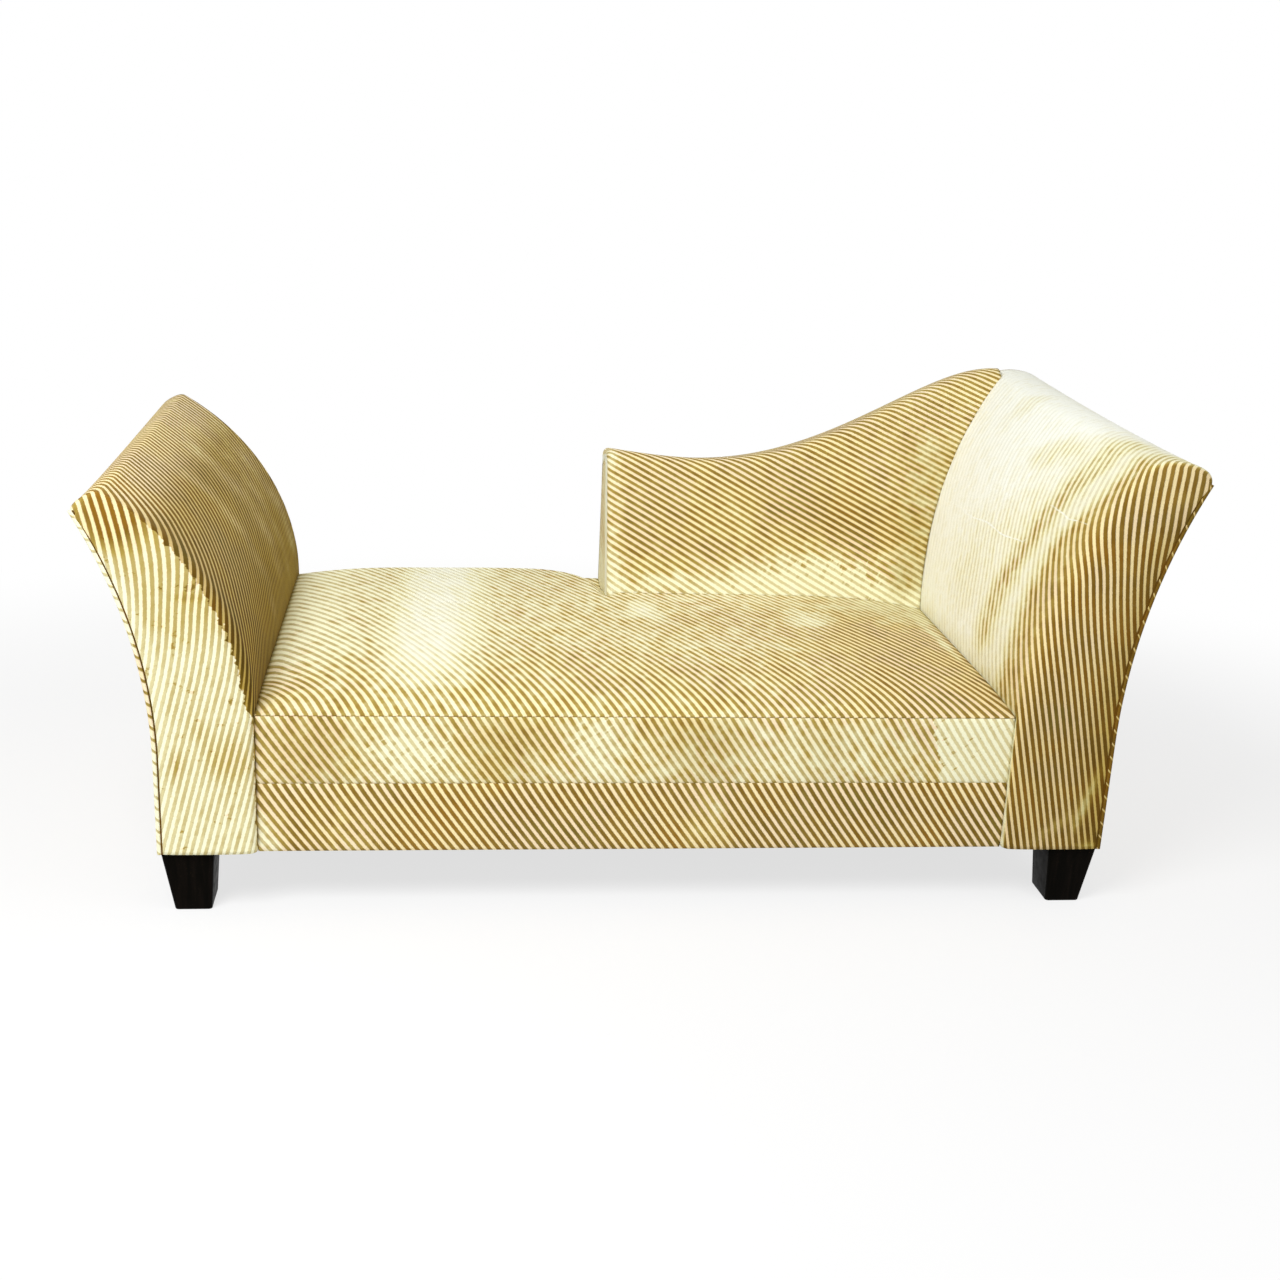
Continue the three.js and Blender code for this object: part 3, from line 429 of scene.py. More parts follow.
# Marks on the covers, of wear, painted light and painted shade: each has a share, a place, two half-widths
# and, where it is turned, an angle
marks = {
    "leftFace": [(-0.8, (-925, 742), (84, 58), 30), (-0.34, (-836, 287), (16, 34)),
                 (-0.3, (-742, 300), (42, 52)), (-0.2, (-790, 350), (20, 26)), (-0.3, (-800, 597), (22, 7))],
    "rightFace": [(0.3, (735, 775), (60, 60)), (0.25, (706, 690), (20, 140)),
                  (0.3, (790, 160), (60, 12), 40), (0.7, (846, 205), (9, 66), -16),
                  (0.5, (868, 122), (26, 8))],
    "rightFaint": [(1.0, (400, 196), (150, 130)), (0.8, (310, 345), (80, 90)),
                   (1.4, (345, 470), (105, 36), -25), (0.8, (620, 520), (60, 36), -50)],
    "backWearAndPaintedLight": [(0.2, (330, 430), (170, 46)), (0.14, (60, 440), (150, 50)),
                 (0.34, (470, 455), (190, 64), -4), (0.1, (120, 440), (220, 44)),
                 (0.12, (270, 570), (60, 40)), (-0.12, (560, 570), (150, 50), -8)],
    "backPaintedShade": [(0.16, (540, 575), (190, 60), -8), (0.25, (650, 452), (30, 46))],
    "backFray": [(0.6, (490, 448), (150, 48), -4), (0.4, (330, 425), (120, 34)),
                 (-0.6, (655, 452), (34, 60))],
    "seatWearAndPaintedLight": [(0.5, (60, 530), (34, 75), 12), (0.62, (402, 480), (50, 56), -20),
                 (0.5, (672, 400), (12, 150), 3)],
    "boxingWearAndPaintedLight": [(1.0, (-425, 310), (100, 90)), (0.85, (-90, 320), (72, 90), 20),
                   (0.7, (290, 315), (125, 90)), (0.3, (40, 270), (60, 30)),
                   (0.25, (120, 310), (110, 80)), (0.4, (450, 310), (110, 90))],
    "boxingPaintedLight": [(0.5, (-425, 305), (90, 62)), (0.46, (-90, 330), (66, 54), 20)],
    "boxingPaintedShade": [(0.26, (-590, 300), (90, 80)), (0.26, (-255, 310), (70, 90)),
                    (0.26, (110, 310), (80, 90)), (0.13, (340, 290), (50, 60))],
    "borderWear": [(0.3, (-530, 150), (50, 60)), (0.35, (130, 170), (40, 70)), (0.5, (-684, 140), (34, 60))],
}


def marked(x, y, name):
    return sum(share * patch(x, y, *shape) for share, *shape in marks[name])


# Slow unevenness of stuffed cloth: three crossed waves, in shares of 1
def unevenness(x, y, length):
    k = 2 * math.pi / length
    waves = np.sin(k * (x + 0.37 * y)) + np.sin(k * (0.71 * y - 0.52 * x) + 1.3)
    return (waves + np.sin(1.7 * k * (0.4 * x + y) + 4)) / 3


# Body of the piece
bodyLook = {"half": 698.0, "depth": 904.0, "foot": 115.0, "borderTop": 244.0, "seam": 377.0, "crown": 36.0,
            "rearRound": 26.0, "armFront": -19.0, "padBack": 900.7, "cloth": 3.0, "gap": 0.3, "setBack": 3.6}
half, depth, foot, seam = (bodyLook[k] for k in ("half", "depth", "foot", "seam"))
armFront, padBack, gap, setBack = (bodyLook[k] for k in ("armFront", "padBack", "gap", "setBack"))

leftArm = {
    "name": "left", "side": -1, "thickness": 173, "top": 781,
    "innerStart": 380, "innerLean": 239, "innerCurl": 0.853,
    "outerStart": 295, "outerTop": 747, "outerLean": 118, "outerCurl": 0.5,
    "lipInner": 16, "lipOuter": 14, "rise": 4, "sag": 9, "stripeFrom": 348, "rearCut": 0.118,
}
rightArm = {
    "name": "right", "side": 1, "thickness": 191, "top": 855,
    "innerStart": 335, "innerLean": 182, "innerCurl": 0.72,
    "outerStart": 335, "outerTop": 832, "outerLean": 115, "outerCurl": 0.555,
    "lipInner": 46, "lipOuter": 38, "rise": 22, "sag": 3, "stripeFrom": 374, "rearCut": 0.142,
}
arms = (leftArm, rightArm)


# Share of the way along an elliptical roll, 0 at its start and 1 at its end
def roll(share, curl):
    return (1 - np.sqrt(1 - (curl * clamp(share)) ** 2)) / (1 - math.sqrt(1 - curl ** 2))


def innerFace(arm, z):
    share = (z - arm["innerStart"]) / (arm["top"] - arm["innerStart"])
    return half + arm["innerLean"] * roll(share, arm["innerCurl"])


def outerFace(arm, z):
    share = (z - arm["outerStart"]) / (arm["outerTop"] - arm["outerStart"])
    return half + arm["thickness"] + arm["outerLean"] * roll(share, arm["outerCurl"])


# The rounded lip between the two faces: a cubic curve that leaves each face along its own slope
def lipPoints(arm, t):
    step = 3.0
    rising = np.array([innerFace(arm, arm["top"]) - innerFace(arm, arm["top"] - step), step])
    falling = np.array([outerFace(arm, arm["outerTop"]) - outerFace(arm, arm["outerTop"] - step), step])
    start = np.array([innerFace(arm, arm["top"]), arm["top"]])
    end = np.array([outerFace(arm, arm["outerTop"]), arm["outerTop"]])
    first = start + rising / np.hypot(*rising) * arm["lipInner"]
    second = end + falling / np.hypot(*falling) * arm["lipOuter"]
    t = t[:, None]
    return start * (1 - t) ** 3 + 3 * first * t * (1 - t) ** 2 + 3 * second * t * t * (1 - t) + end * t ** 3


# Radius of the soft corner at a height: small beside the seat, softest above it, small again at the top
def cornerRadius(arm, z):
    s = clamp((z - seam) / (arm["top"] - seam))
    return mix(mix(15, 12, s), armGrid["corner"], clamp(np.sin(np.pi * s ** 0.7)) ** 0.8)


# Heights along an arm: its top rises to the rear after a slight sag near the front
def climbed(arm, y, z):
    along = clamp((y - armFront) / (depth - armFront))
    lift = arm["rise"] * along ** 2 - arm["sag"] * np.sin(np.pi * along ** 0.4)
    return foot + (z - foot) * (1 + lift / (arm["top"] - foot))


armGrid = {"up": 84, "lip": 26, "across": 22, "round": 14, "length": 112, "padding": 29.3,
           "frontPadding": 16.3, "puff": 2.5, "corner": 46}


# How far along a line of points each of them lies
def distances(points):
    return np.concatenate([[0], np.cumsum(np.linalg.norm(np.diff(points, axis=0), axis=1))])


# An arm's cover as a sheet. Columns go up the inside face and over the lip; rows go across the front face
# from its outer edge, round the soft corner and back to the rear. Points move towards a partner on the
# outside face by the inset and by the round of the corner: round = r - sqrt(r^2 - (r - into)^2).
def armSheet(arm, inset=0.0, front=0.0):
    share = np.linspace(0, 1, armGrid["up"], endpoint=False)
    anchorZ = mix(arm["outerTop"], foot, 0.1)
    z = mix(foot, arm["top"], share)
    partnerZ = mix(foot, anchorZ, share)
    t = np.linspace(0, 1, armGrid["lip"])
    lip = lipPoints(arm, t)
    points = np.concatenate([np.stack([innerFace(arm, z), z], 1), lip])
    partners = np.concatenate([
        np.stack([outerFace(arm, partnerZ), partnerZ], 1),
        np.broadcast_to([outerFace(arm, anchorZ), anchorZ], lip.shape),
    ])
    edgeZ = np.concatenate([partnerZ, mix(anchorZ, arm["outerTop"] - 4, t)])
    edge = np.stack([outerFace(arm, edgeZ) - setBack, edgeZ], 1)
    lipShare = np.concatenate([np.zeros(len(z)), t])

    corner = max(armGrid["corner"] - inset, 3.0)
    turn = 1 - np.cos(np.linspace(0, np.pi / 2, armGrid["round"]))
    start = armFront + front
    straight = np.linspace(start + corner, padBack, armGrid["length"])
    y = np.concatenate([start + corner * turn, straight[1:]])
    radius = np.maximum(cornerRadius(arm, points[:, 1]) - inset, 1.5)
    into = np.minimum(y[:, None] - start, radius)
    rounded = radius - np.sqrt(np.maximum(radius ** 2 - (radius - into) ** 2, 0))
    way = partners - points
    move = np.minimum((inset + rounded) / np.hypot(way[:, 0], way[:, 1]), 0.8)
    moved = points + way * move[..., None]
    moved[..., 0] -= np.where(inset > 0, setBack * lipShare, 0)

    fill = np.linspace(0, 1, armGrid["across"], endpoint=False)[:, None, None]
    flat = edge + (moved[0] - edge) * fill
    crown = armGrid["puff"] * dome(fill[..., 0], 4) * (inset == 0)
    profile = np.concatenate([flat, moved])
    flatDepths = start - np.broadcast_to(crown, flat.shape[:2])
    depths = np.concatenate([flatDepths, np.broadcast_to(y[:, None], moved.shape[:2])])
    heights = climbed(arm, depths, profile[..., 1])
    sheet = np.stack([arm["side"] * profile[..., 0], depths, heights], -1)
    run = distances(points)
    run -= np.interp(arm["stripeFrom"], points[: len(z), 1], run[: len(z)])
    return sheet, np.broadcast_to(run, depths.shape)


# Stripes on an arm. On the front face the count grows by a rate for each millimetre outwards and upwards;
# behind it the count falls along the arm, slower near the front corner, so the stripes turn it unbroken.
armStripes = {
    "left": {"rate": 0.0785, "slack": 0.13, "slackFrom": 560, "slackTo": 680, "rise": 0.021,
             "bend": 0.00006, "bendFrom": 430, "back": 0.0455, "twist": 0.00003,
             "ease": 0.016, "easeLow": 0.0, "easeLength": 45,
             "lift": 0.012, "liftFrom": 80, "liftTo": 400, "dip": 0.0, "drop": 0.012, "dropFrom": 420},
    "right": {"rate": 0.078, "slack": 0.16, "slackFrom": 640, "slackTo": 760, "rise": 0.018,
              "bend": 0.000036, "bendFrom": 520, "back": 0.055, "twist": 0.00001,
              "ease": 0.018, "easeLow": 0.6, "easeLength": 200,
              "lift": 0.007, "liftFrom": 0, "liftTo": 280, "dip": 0.009, "drop": 0.020, "dropFrom": 430},
}


def armCount(look, x, y, z, run):
    x = np.abs(x)
    rate = look["rate"] * (1 - look["slack"] * soft(z, look["slackFrom"], look["slackTo"]))
    count = rate * (x - 880) + look["rise"] * z - look["bend"] * np.maximum(z - look["bendFrom"], 0) ** 2
    behind = np.maximum(y - armFront, 0)
    count -= look["back"] * behind + look["twist"] * behind * np.maximum(run - 242, 0)
    lift = look["lift"] * (np.clip(run, look["liftFrom"], look["liftTo"]) - look["liftFrom"])
    lift -= look["dip"] * np.clip(run - 290, 0, 140) + look["drop"] * np.maximum(run - look["dropFrom"], 0)
    count += lift * (1 - np.exp(-behind / 120))
    ease = look["ease"] * look["easeLength"] * (1 + look["easeLow"] * (1 - soft(run, 60, 220)))
    return count + ease * (1 - np.exp(-behind / look["easeLength"]))


# Wear, painted light and painted shade of each cover, over its own surface. The first field is 0 on fresh
# pile,
# 1 on pile worn pale and on painted pools of light, and 2 where the stripes go white, mostly as painted
# light;
# the painted shade is the share by which the cover is darkened where its nap lies away from the light.
def leftArmWear(x, y, z, run):
    front = soft(y, armFront + 24, armFront + 4)
    toEdge = outerFace(leftArm, z) - np.abs(x)
    face = mix(0.24, 0.0, soft(z, 480, 560)) + marked(x, z, "leftFace")
    face += 0.3 * soft(toEdge, 45, 12) + 0.1 * soft(z, 230, 150)
    inside = 0.1 * soft(run + 0.6 * y, 120, 430) + 0.12 * soft(y, 300, 760)
    inside += 0.24 * leftArmHaze(y, run) + 0.12 * soft(run, 480, 560)
    return np.clip(mix(inside, face, front), -0.6, 1)


# Paler bands that cross the inside near its rear edge: place along the arm and width
hazeBands = ((420, 30), (600, 44), (720, 30), (850, 60))


def leftArmHaze(y, run):
    haze = sum(np.exp(-((y + 0.06 * run - place) / width) ** 2) for place, width in hazeBands)
    return haze * soft(run, 20, 140) * soft(run, 540, 420) * clamp(0.6 + 0.6 * unevenness(y, run, 170))


# Painted shade: the inside face lies away from the light, darkest low down and to the rear, lighter in the
# paler bands and clear up on the lip
def leftArmPaintedShade(x, y, z, run):
    inside = 0.68 + 0.3 * soft(run, 330, 60) + 0.12 * soft(y, 120, 560) - 0.3 * leftArmHaze(y, run)
    return clamp(inside * (1 - 0.95 * soft(run, 390, 490)))


# Painted light: the front face, painted lit up to a jagged line on the soft corner towards the inside, which
# is in shade
def leftArmPaintedLight(x, y, z, run):
    low = soft(z, 600, 440) * soft(z, 366, 400)
    fromInside = soft(np.abs(x) - innerFace(leftArm, z), mix(-6, 2, low), mix(-1, 22, low))
    return soft(y, armFront + 21, armFront + 1) * fromInside


# Wear on the right arm's front face, and painted light on its inside: painted white where the light falls
# full on it, less in a nose, a band and faint marks where the stripes show
def rightArmWearAndPaintedLight(x, y, z, run):
    front = soft(y, armFront + 40, armFront + 2)
    face = 0.03 + 0.1 * soft(z, 720, 820) + marked(x, z, "rightFace")
    up = (z - foot) / 260
    # Painted highlight: a white strip along the inside's front corner just above the seat
    strip = soft(y, mix(-14, -6, up), mix(-10, -2, up)) * soft(z, 384, 368)
    high = soft(run, 300, 460)
    nose = soft(y, mix(158, 88, high), mix(84, 34, high))
    middle = 280 - 0.255 * run + 12 * np.sin(np.pi * run / 600)
    band = np.exp(-np.abs((y - middle) / 46) ** 3) * soft(run, 20, 90) * soft(run, 620, 560)
    faint = 0.56 * marked(y, run, "rightFaint") + 0.26 * soft(run, 70, 0)
    base = 1.97 - 0.5 * soft(y, 330, 190) * soft(run, 640, 540)
    fresh = 0.88 * nose * (1 - 0.3 * soft(run, 380, 600)) + 0.72 * band * (1 - 0.2 * soft(run, 300, 520))
    inside = mix(base, 0.25, clamp(fresh)) - faint * (1 - nose) * (1 - band)
    over = soft(run, 500, 560) * soft(y, armFront, armFront + 8)
    return np.clip(mix(inside, face, front * (1 - over)) + 1.4 * strip, 0, 2)


# Painted shade: the front face darker towards its outer edge and low down, the inside darker near its front
# and beside the seat
def rightArmPaintedShade(x, y, z, run):
    front = soft(y, armFront + 40, armFront + 2)
    toEdge = outerFace(rightArm, z) - np.abs(x)
    face = 0.14 + 0.5 * soft(toEdge, 90, 0) + 0.26 * soft(z, 620, 300)
    inside = 0.14 * soft(y, 330, 60) + 0.25 * soft(run, 60, 0)
    return clamp(mix(inside, face * (1 - 0.6 * soft(z, 700, 800)), front))


# A scratch across the inside in two strokes: 1 on its line, and 0.01 more or less for each millimetre off it
def rightArmScratch(x, y, z, run):
    line = 388 - 0.075 * (y + 18) + 7 * soft(y, 110, 150) + 3 * np.sin(y / 31)
    ends = 90 * soft(y, 8, -14) + 90 * soft(y, 214, 236)
    return 1 + (run - line + ends) / 100


# An arm's cushion: its cover with a slight unevenness of the stuffing, over a pad that closes it underneath
def buildArm(arm, kinds):
    outer, run = armSheet(arm)
    inner, _ = armSheet(arm, armGrid["padding"], armGrid["frontPadding"])
    x, y, z = (outer[..., i] for i in range(3))
    dent = 0.9 * unevenness(y, run, 210) * soft(y, armFront + 20, armFront + 120)
    outer[..., 0] += -arm["side"] * dent * soft(run, 0, 120) * soft(run, 520, 460)
    name = arm["name"]
    fields = {key: kind(x, y, z, run) for key, kind in kinds.items()}
    fields.update(across=armCount(armStripes[name], x, y, z, run), along=(run + 0.6 * y) / 14)
    replaced = [f"{name}_inside_arm_cover", f"{name}_arm_pad"]
    piece = addShell(f"{name}_arm_cushion", outer, inner, fields, replaced)


buildArm(leftArm, {"wearAndPaintedLight": leftArmWear, "paintedShade": leftArmPaintedShade, "frayAndPaintedLight": leftArmPaintedLight})
buildArm(rightArm, {"wearAndPaintedLight": rightArmWearAndPaintedLight, "paintedShade": rightArmPaintedShade, "scratch": rightArmScratch})
print("arm cushions made")


# Stripe count and wear on flat panels that the photograph doesn't show: straight bias stripes, evenly worn
def plainFields(across, up, start=0.0, rise=0.045, run=0.056, wearAndPaintedLight=0.15):
    count = across * run + up * rise + start
    zero = 0 * across
    # The panels get a slight even painted shade
    return {"across": count, "along": (up - across) / 20, "wearAndPaintedLight": wearAndPaintedLight + zero, "paintedShade": 0.08 + zero}


# Outside panel of an arm: a sheet that follows the outside face, with a soft crown
def buildOutside(arm):
    z = np.linspace(foot, arm["outerTop"] - 1, 60)
    y = np.linspace(armFront + setBack, padBack, 60)
    gridY, gridZ = np.meshgrid(y, z, indexing="ij")
    alongShare = (gridY - y[0]) / (y[-1] - y[0])
    crown = 1.6 * dome(alongShare, 8) * dome((gridZ - foot) / (z[-1] - foot), 8)
    wall = outerFace(arm, gridZ)
    high = climbed(arm, gridY, gridZ)
    outer = np.stack([arm["side"] * (wall + crown), gridY, high], -1)
    inner = np.stack([arm["side"] * (wall - bodyLook["cloth"]), gridY, high], -1)
    name = arm["name"]
    fields = plainFields(gridY, gridZ)
    piece = addShell(f"{name}_outside_panel", outer, inner, fields, [f"{name}_outside_arm_panel"])


# Rear panel of an arm: the arm's own section filled between its inside and outside outlines
def buildRearPanel(arm):
    sheet, _ = armSheet(arm)
    share = np.concatenate([
        np.linspace(0, 0.9, armGrid["up"], endpoint=False), np.linspace(0.9, 1, armGrid["lip"])])
    edgeZ = mix(foot, arm["outerTop"] - 2, share)
    edgeX = arm["side"] * outerFace(arm, edgeZ)
    edge = np.stack([edgeX, 0 * edgeZ + padBack, climbed(arm, padBack, edgeZ)], 1)
    t = np.linspace(0, 1, 20)[:, None, None]
    outer = edge + (sheet[-1] - edge) * t
    inner = outer.copy()
    outer[..., 1] = depth + 1.2 * dome(t[..., 0], 6) - 1.2
    inner[..., 1] = padBack + gap
    fields = plainFields(outer[..., 0], outer[..., 2], 0.37 * arm["side"])
    name = arm["name"]
    piece = addShell(f"{name}_rear_panel", outer, inner, fields, [f"{name}_arm_rear_panel"])


# Welt down an arm's outer front edge: a cord in bias-cut velvet, so its stripes wind round it, with a thin
# cord of the darkest stripe beside it, wholly in painted shade, that paints the shadow in the sunken seam
weltLook = {
    "radius": 4.2, "inset": 1.4, "sides": 14, "steps": 420, "gold": 0.53, "darkAt": 420, "reach": 110,
    "shadowCordRadius": 1.5, "shadowCordInset": 6.2, "shadowCordDepth": -0.2,
    "left": {"pitch": 22.0, "share": 0.26, "wearAndPaintedLight": 0.9, "dark": 0.5, "paintedShade": 0.0},
    # The right welt is darkened by painted shade
    "right": {"pitch": 27.0, "share": 0.9, "wearAndPaintedLight": 0.1, "dark": 0.0, "paintedShade": 0.7},
}


def cord(line, radius, turn):
    along = np.gradient(line, axis=0)
    along /= np.linalg.norm(along, axis=1, keepdims=True)
    forward = np.array([0.0, -1.0, 0.0])
    sideways = np.cross(along, forward)
    around = np.cos(turn)[None, :, None] * forward + np.sin(turn)[None, :, None] * sideways[:, None]
    ends = [np.broadcast_to(line[i, None, None], (1, len(turn), 3)) for i in (0, -1)]
    return np.concatenate([ends[0], line[:, None] + radius * around, ends[1]])


def buildWelt(arm):
    z = np.linspace(foot, arm["outerTop"], weltLook["steps"])
    turn = np.linspace(0, 2 * np.pi, weltLook["sides"] + 1)
    look = weltLook[arm["name"]]
    places = ((weltLook["inset"], weltLook["inset"]), (weltLook["shadowCordInset"], weltLook["shadowCordDepth"]))
    edge, high = outerFace(arm, z), climbed(arm, armFront, z)
    line, shadowCordLine = (
        np.stack([arm["side"] * (edge - inset), 0 * z + armFront + back, high], 1) for inset, back in places)
    across = distances(line)[:, None] / look["pitch"] + turn / (2 * np.pi)
    across = np.floor(across) + np.interp(across % 1, [0, look["share"], 1], [0, weltLook["gold"], 1])
    across = np.concatenate([across[:1], across, across[-1:]])
    thick, thin = cord(line, weltLook["radius"], turn), cord(shadowCordLine, weltLook["shadowCordRadius"], turn)
    quads = gridCells(*across.shape).reshape(-1, 4)
    quads = np.concatenate([quads, quads + across.size])
    points = np.concatenate([thick.reshape(-1, 3), thin.reshape(-1, 3)])
    seam = np.arange(len(points)) >= across.size
    flat = np.where(seam, 0.25, np.tile(across.reshape(-1), 2))
    dark = look["dark"] * np.exp(-(((points[:, 2] - weltLook["darkAt"]) / weltLook["reach"]) ** 4))
    # The seam cord is wholly in painted shade: a dark line painted as the shadow in the seam
    fields = {"across": flat, "along": flat * 1.3, "wearAndPaintedLight": np.where(seam, 0, look["wearAndPaintedLight"] - dark),
              "paintedShade": np.where(seam, 1, look["paintedShade"])}
    name = arm["name"]
    addMesh(f"{name}_welt", points, outward(points, quads), True, fields, [f"{name}_arm_welt"])


for arm in arms:
    buildOutside(arm)
    buildRearPanel(arm)
    buildWelt(arm)
print("arm panels and welts made")


# Back: its free end, its reclined front face and its swept top edge
backLook = {"end": 10, "face": 668, "reclineFoot": 405, "recline": 0.37, "dip": 673, "dipPlace": 190,
            "endHeight": 693, "peak": 897, "peakPlace": 880, "right": 890, "topRound": 34, "rearRound": 12,
            "fall": 0.19, "lap": 40, "endRound": 14, "floor": 337, "padding": 45.3, "capInset": 3.4}


def backTop(x):
    dip, place, end, peak = (backLook[k] for k in ("dip", "dipPlace", "end", "peak"))
    share = clamp((place - x) / (place + end))
    nearEnd = dip + (backLook["endHeight"] - dip) * share ** 1.5
    s = clamp((x - place) / (backLook["peakPlace"] - place))
    s = s ** (1.15 + 0.27 * s)
    return np.where(x < place, nearEnd, mix(dip, peak, s * s * (3 - 2 * s)))


def backFace(z):
    return backLook["face"] + backLook["recline"] * (z - backLook["reclineFoot"])


backGrid = {"front": 54, "topRound": 18, "top": 5, "rearRound": 8, "lap": 4, "columns": 150, "end": 12,
            "cap": 10, "repeats": 60}


# One section of the back at each x: up the reclined front, round the domed top that falls to the rear, round
# again and down the rear lap. The top round's centre lies its radius from both the face and the falling line.
def backSection(x, inset, shrink, rear):
    away = inset + shrink
    big = max(backLook["topRound"] - inset, 3)
    small = max(backLook["rearRound"] - inset, 3)
    lean, fall = math.atan(backLook["recline"]), math.atan(backLook["fall"])
    ridge = backTop(x) - away
    rearY = rear - small
    line = ridge + backLook["fall"] * rearY - big / math.cos(fall)
    face = backLook["face"] - backLook["recline"] * backLook["reclineFoot"] + away + big / math.cos(lean)
    centreZ = (line - backLook["fall"] * face) / (1 + backLook["fall"] * backLook["recline"])
    centreY = face + backLook["recline"] * centreZ
    rise = np.linspace(0, 1, backGrid["front"], endpoint=False)
    z1 = mix(backLook["floor"], (centreZ + big * math.sin(lean))[:, None], rise)
    y1 = backFace(z1) + away[:, None]
    turn = np.linspace(lean, np.pi / 2 + fall, backGrid["topRound"])
    y2 = centreY[:, None] - big * np.cos(turn)
    z2 = centreZ[:, None] + big * np.sin(turn)
    turn = np.linspace(fall, np.pi / 2, backGrid["rearRound"])
    y4 = rearY + small * np.sin(turn) + 0 * ridge[:, None]
    z4 = ridge[:, None] - small / math.cos(fall) + small * np.cos(turn)
    back = np.linspace(0, 1, backGrid["top"] + 1, endpoint=False)[1:]
    y3, z3 = mix(y2[:, -1:], y4[:, :1], back), mix(z2[:, -1:], z4[:, :1], back)
    down = np.linspace(0, 1, backGrid["lap"] + 1)[1:]
    z5 = mix(z4[:, -1:], ridge[:, None] - max(backLook["lap"] - inset, 6), down)
    y5 = rear + 0 * z5
    return np.concatenate([y1, y2, y3, y4, y5], 1), np.concatenate([z1, z2, z3, z4, z5], 1)


# How far right the back may reach at a height, against the right arm's inside face
armLine, _ = armSheet(rightArm)
armLine = armLine[-20]
armCrest = int(np.argmax(armLine[:, 2]))


def armReach(z):
    return np.minimum(np.interp(z, armLine[:armCrest, 2], armLine[:armCrest, 0]) - 0.8, backLook["right"])


def backSheet(inset, rear):
    end = -backLook["end"] + inset * 0.4
    turn = np.linspace(0, np.pi / 2, backGrid["end"])
    radius = backLook["endRound"]
    ends = np.stack([end + radius * (1 - np.cos(turn)), radius * (1 - np.sin(turn))], 1)
    share = np.linspace(0, 1, backGrid["columns"] + 1)[1:]
    share = share * 0.82 + 0.18 * share ** 3
    shrink = np.concatenate([ends[:, 1], 0 * share])
    x = np.concatenate([ends[:, 0], mix(end + radius, backLook["right"], share)])
    y, z = backSection(x, inset, shrink, rear)
    x = np.broadcast_to(x[:, None], y.shape).copy()
    # Columns close up against the arm: x runs from the end to the arm's face at its height, found by repeats
    limit = np.full(y.shape[1], float(backLook["right"]))
    for _ in range(backGrid["repeats"]):
        edgeZ = backSection(limit, inset, 0 * limit, rear)[1].diagonal()
        limit = 0.5 * limit + 0.5 * armReach(edgeZ)
    first = end + radius
    for column in range(y.shape[1]):
        place = mix(first, limit[column], share)
        x[len(ends):, column] = place
        sectionY, sectionZ = backSection(place, inset, 0 * place, rear)
        y[len(ends):, column] = sectionY[:, column]
        z[len(ends):, column] = sectionZ[:, column]
    sheet = np.stack([x, y, z], -1)
    steps = np.hypot(np.diff(y, axis=1), np.diff(z, axis=1))
    run = np.concatenate([np.zeros((len(y), 1)), np.cumsum(steps, axis=1)], 1)
    # The end face fills in from a line near the rear, clear of the panel behind it
    rest = sheet[0]
    lineY = 0 * rest[:, 0] + rear - backLook["capInset"]
    line = np.stack([rest[:, 0], lineY, mix(rest[:, 2], backLook["floor"], 0.12)], 1)
    fill = np.linspace(0, 1, backGrid["cap"], endpoint=False)[:, None, None]
    cap = line + (rest - line) * fill
    capRun = run[0] + 0 * fill[..., 0]
    inward = np.linalg.norm(cap - rest, axis=-1)
    return np.concatenate([cap, sheet]), np.concatenate([capRun, run]), np.concatenate([inward, 0 * x])


backStripes = {"across": 0.0385, "up": 0.0605, "steepen": 0.0000225, "slack": 0.003, "slackFrom": 380,
               "endRate": 0.05}


def backCount(x, run, inward):
    past = np.maximum(run - 120, 0)
    count = backStripes["across"] * x + backStripes["up"] * run + backStripes["steepen"] * past ** 2
    count -= backStripes["slack"] * np.maximum(x - backStripes["slackFrom"], 0)
    return count - backStripes["endRate"] * inward


def backWearAndPaintedLight(x, z, inward):
    low = 0.3 * soft(z, 475, 400) + 0.06 * soft(z, 520, 440) + 0.08 * soft(x, 560, 700)
    # Painted light: the free end is painted paler, and its end face, filled in from near the rear, nearly
    # white
    end = 0.3 * soft(x, 36, -10) + 1.2 * soft(inward, 1, 9) * soft(inward, 60, 30)
    right = 0.26 * soft(x, 600, 720) * soft(z, 800, 690)
    return np.clip(0.27 + low + end + right + marked(x, z, "backWearAndPaintedLight"), 0, 1.8)


# Painted shade: darker beside the right arm and along a fold across the middle
def backPaintedShade(x, z):
    return 0.34 * soft(x, 610, 700) * soft(z, 800, 700) * soft(z, 400, 450) + marked(x, z, "backPaintedShade")


# The pile is rubbed pale low down, where a sitter leans, and along the seat
def backFray(x, z):
    return 0.3 * soft(z, 440, 405) + marked(x, z, "backFray")


def buildBack():
    outer, run, inward = backSheet(0.0, depth)
    inner, _, _ = backSheet(backLook["padding"], padBack)
    x, z = outer[..., 0], outer[..., 2]
    outer[..., 1] += 1.0 * unevenness(x, z, 260) * soft(run, 20, 90) * soft(run, 330, 280)
    fields = {"across": backCount(x, run, inward), "along": (x * 0.84 - run * 0.5) / 14,
              "wearAndPaintedLight": backWearAndPaintedLight(x, z, inward), "paintedShade": backPaintedShade(x, z), "frayAndPaintedLight": backFray(x, z)}
    piece = addShell("back_cushion", outer, inner, fields, ["inside_back_cover", "back_pad"])


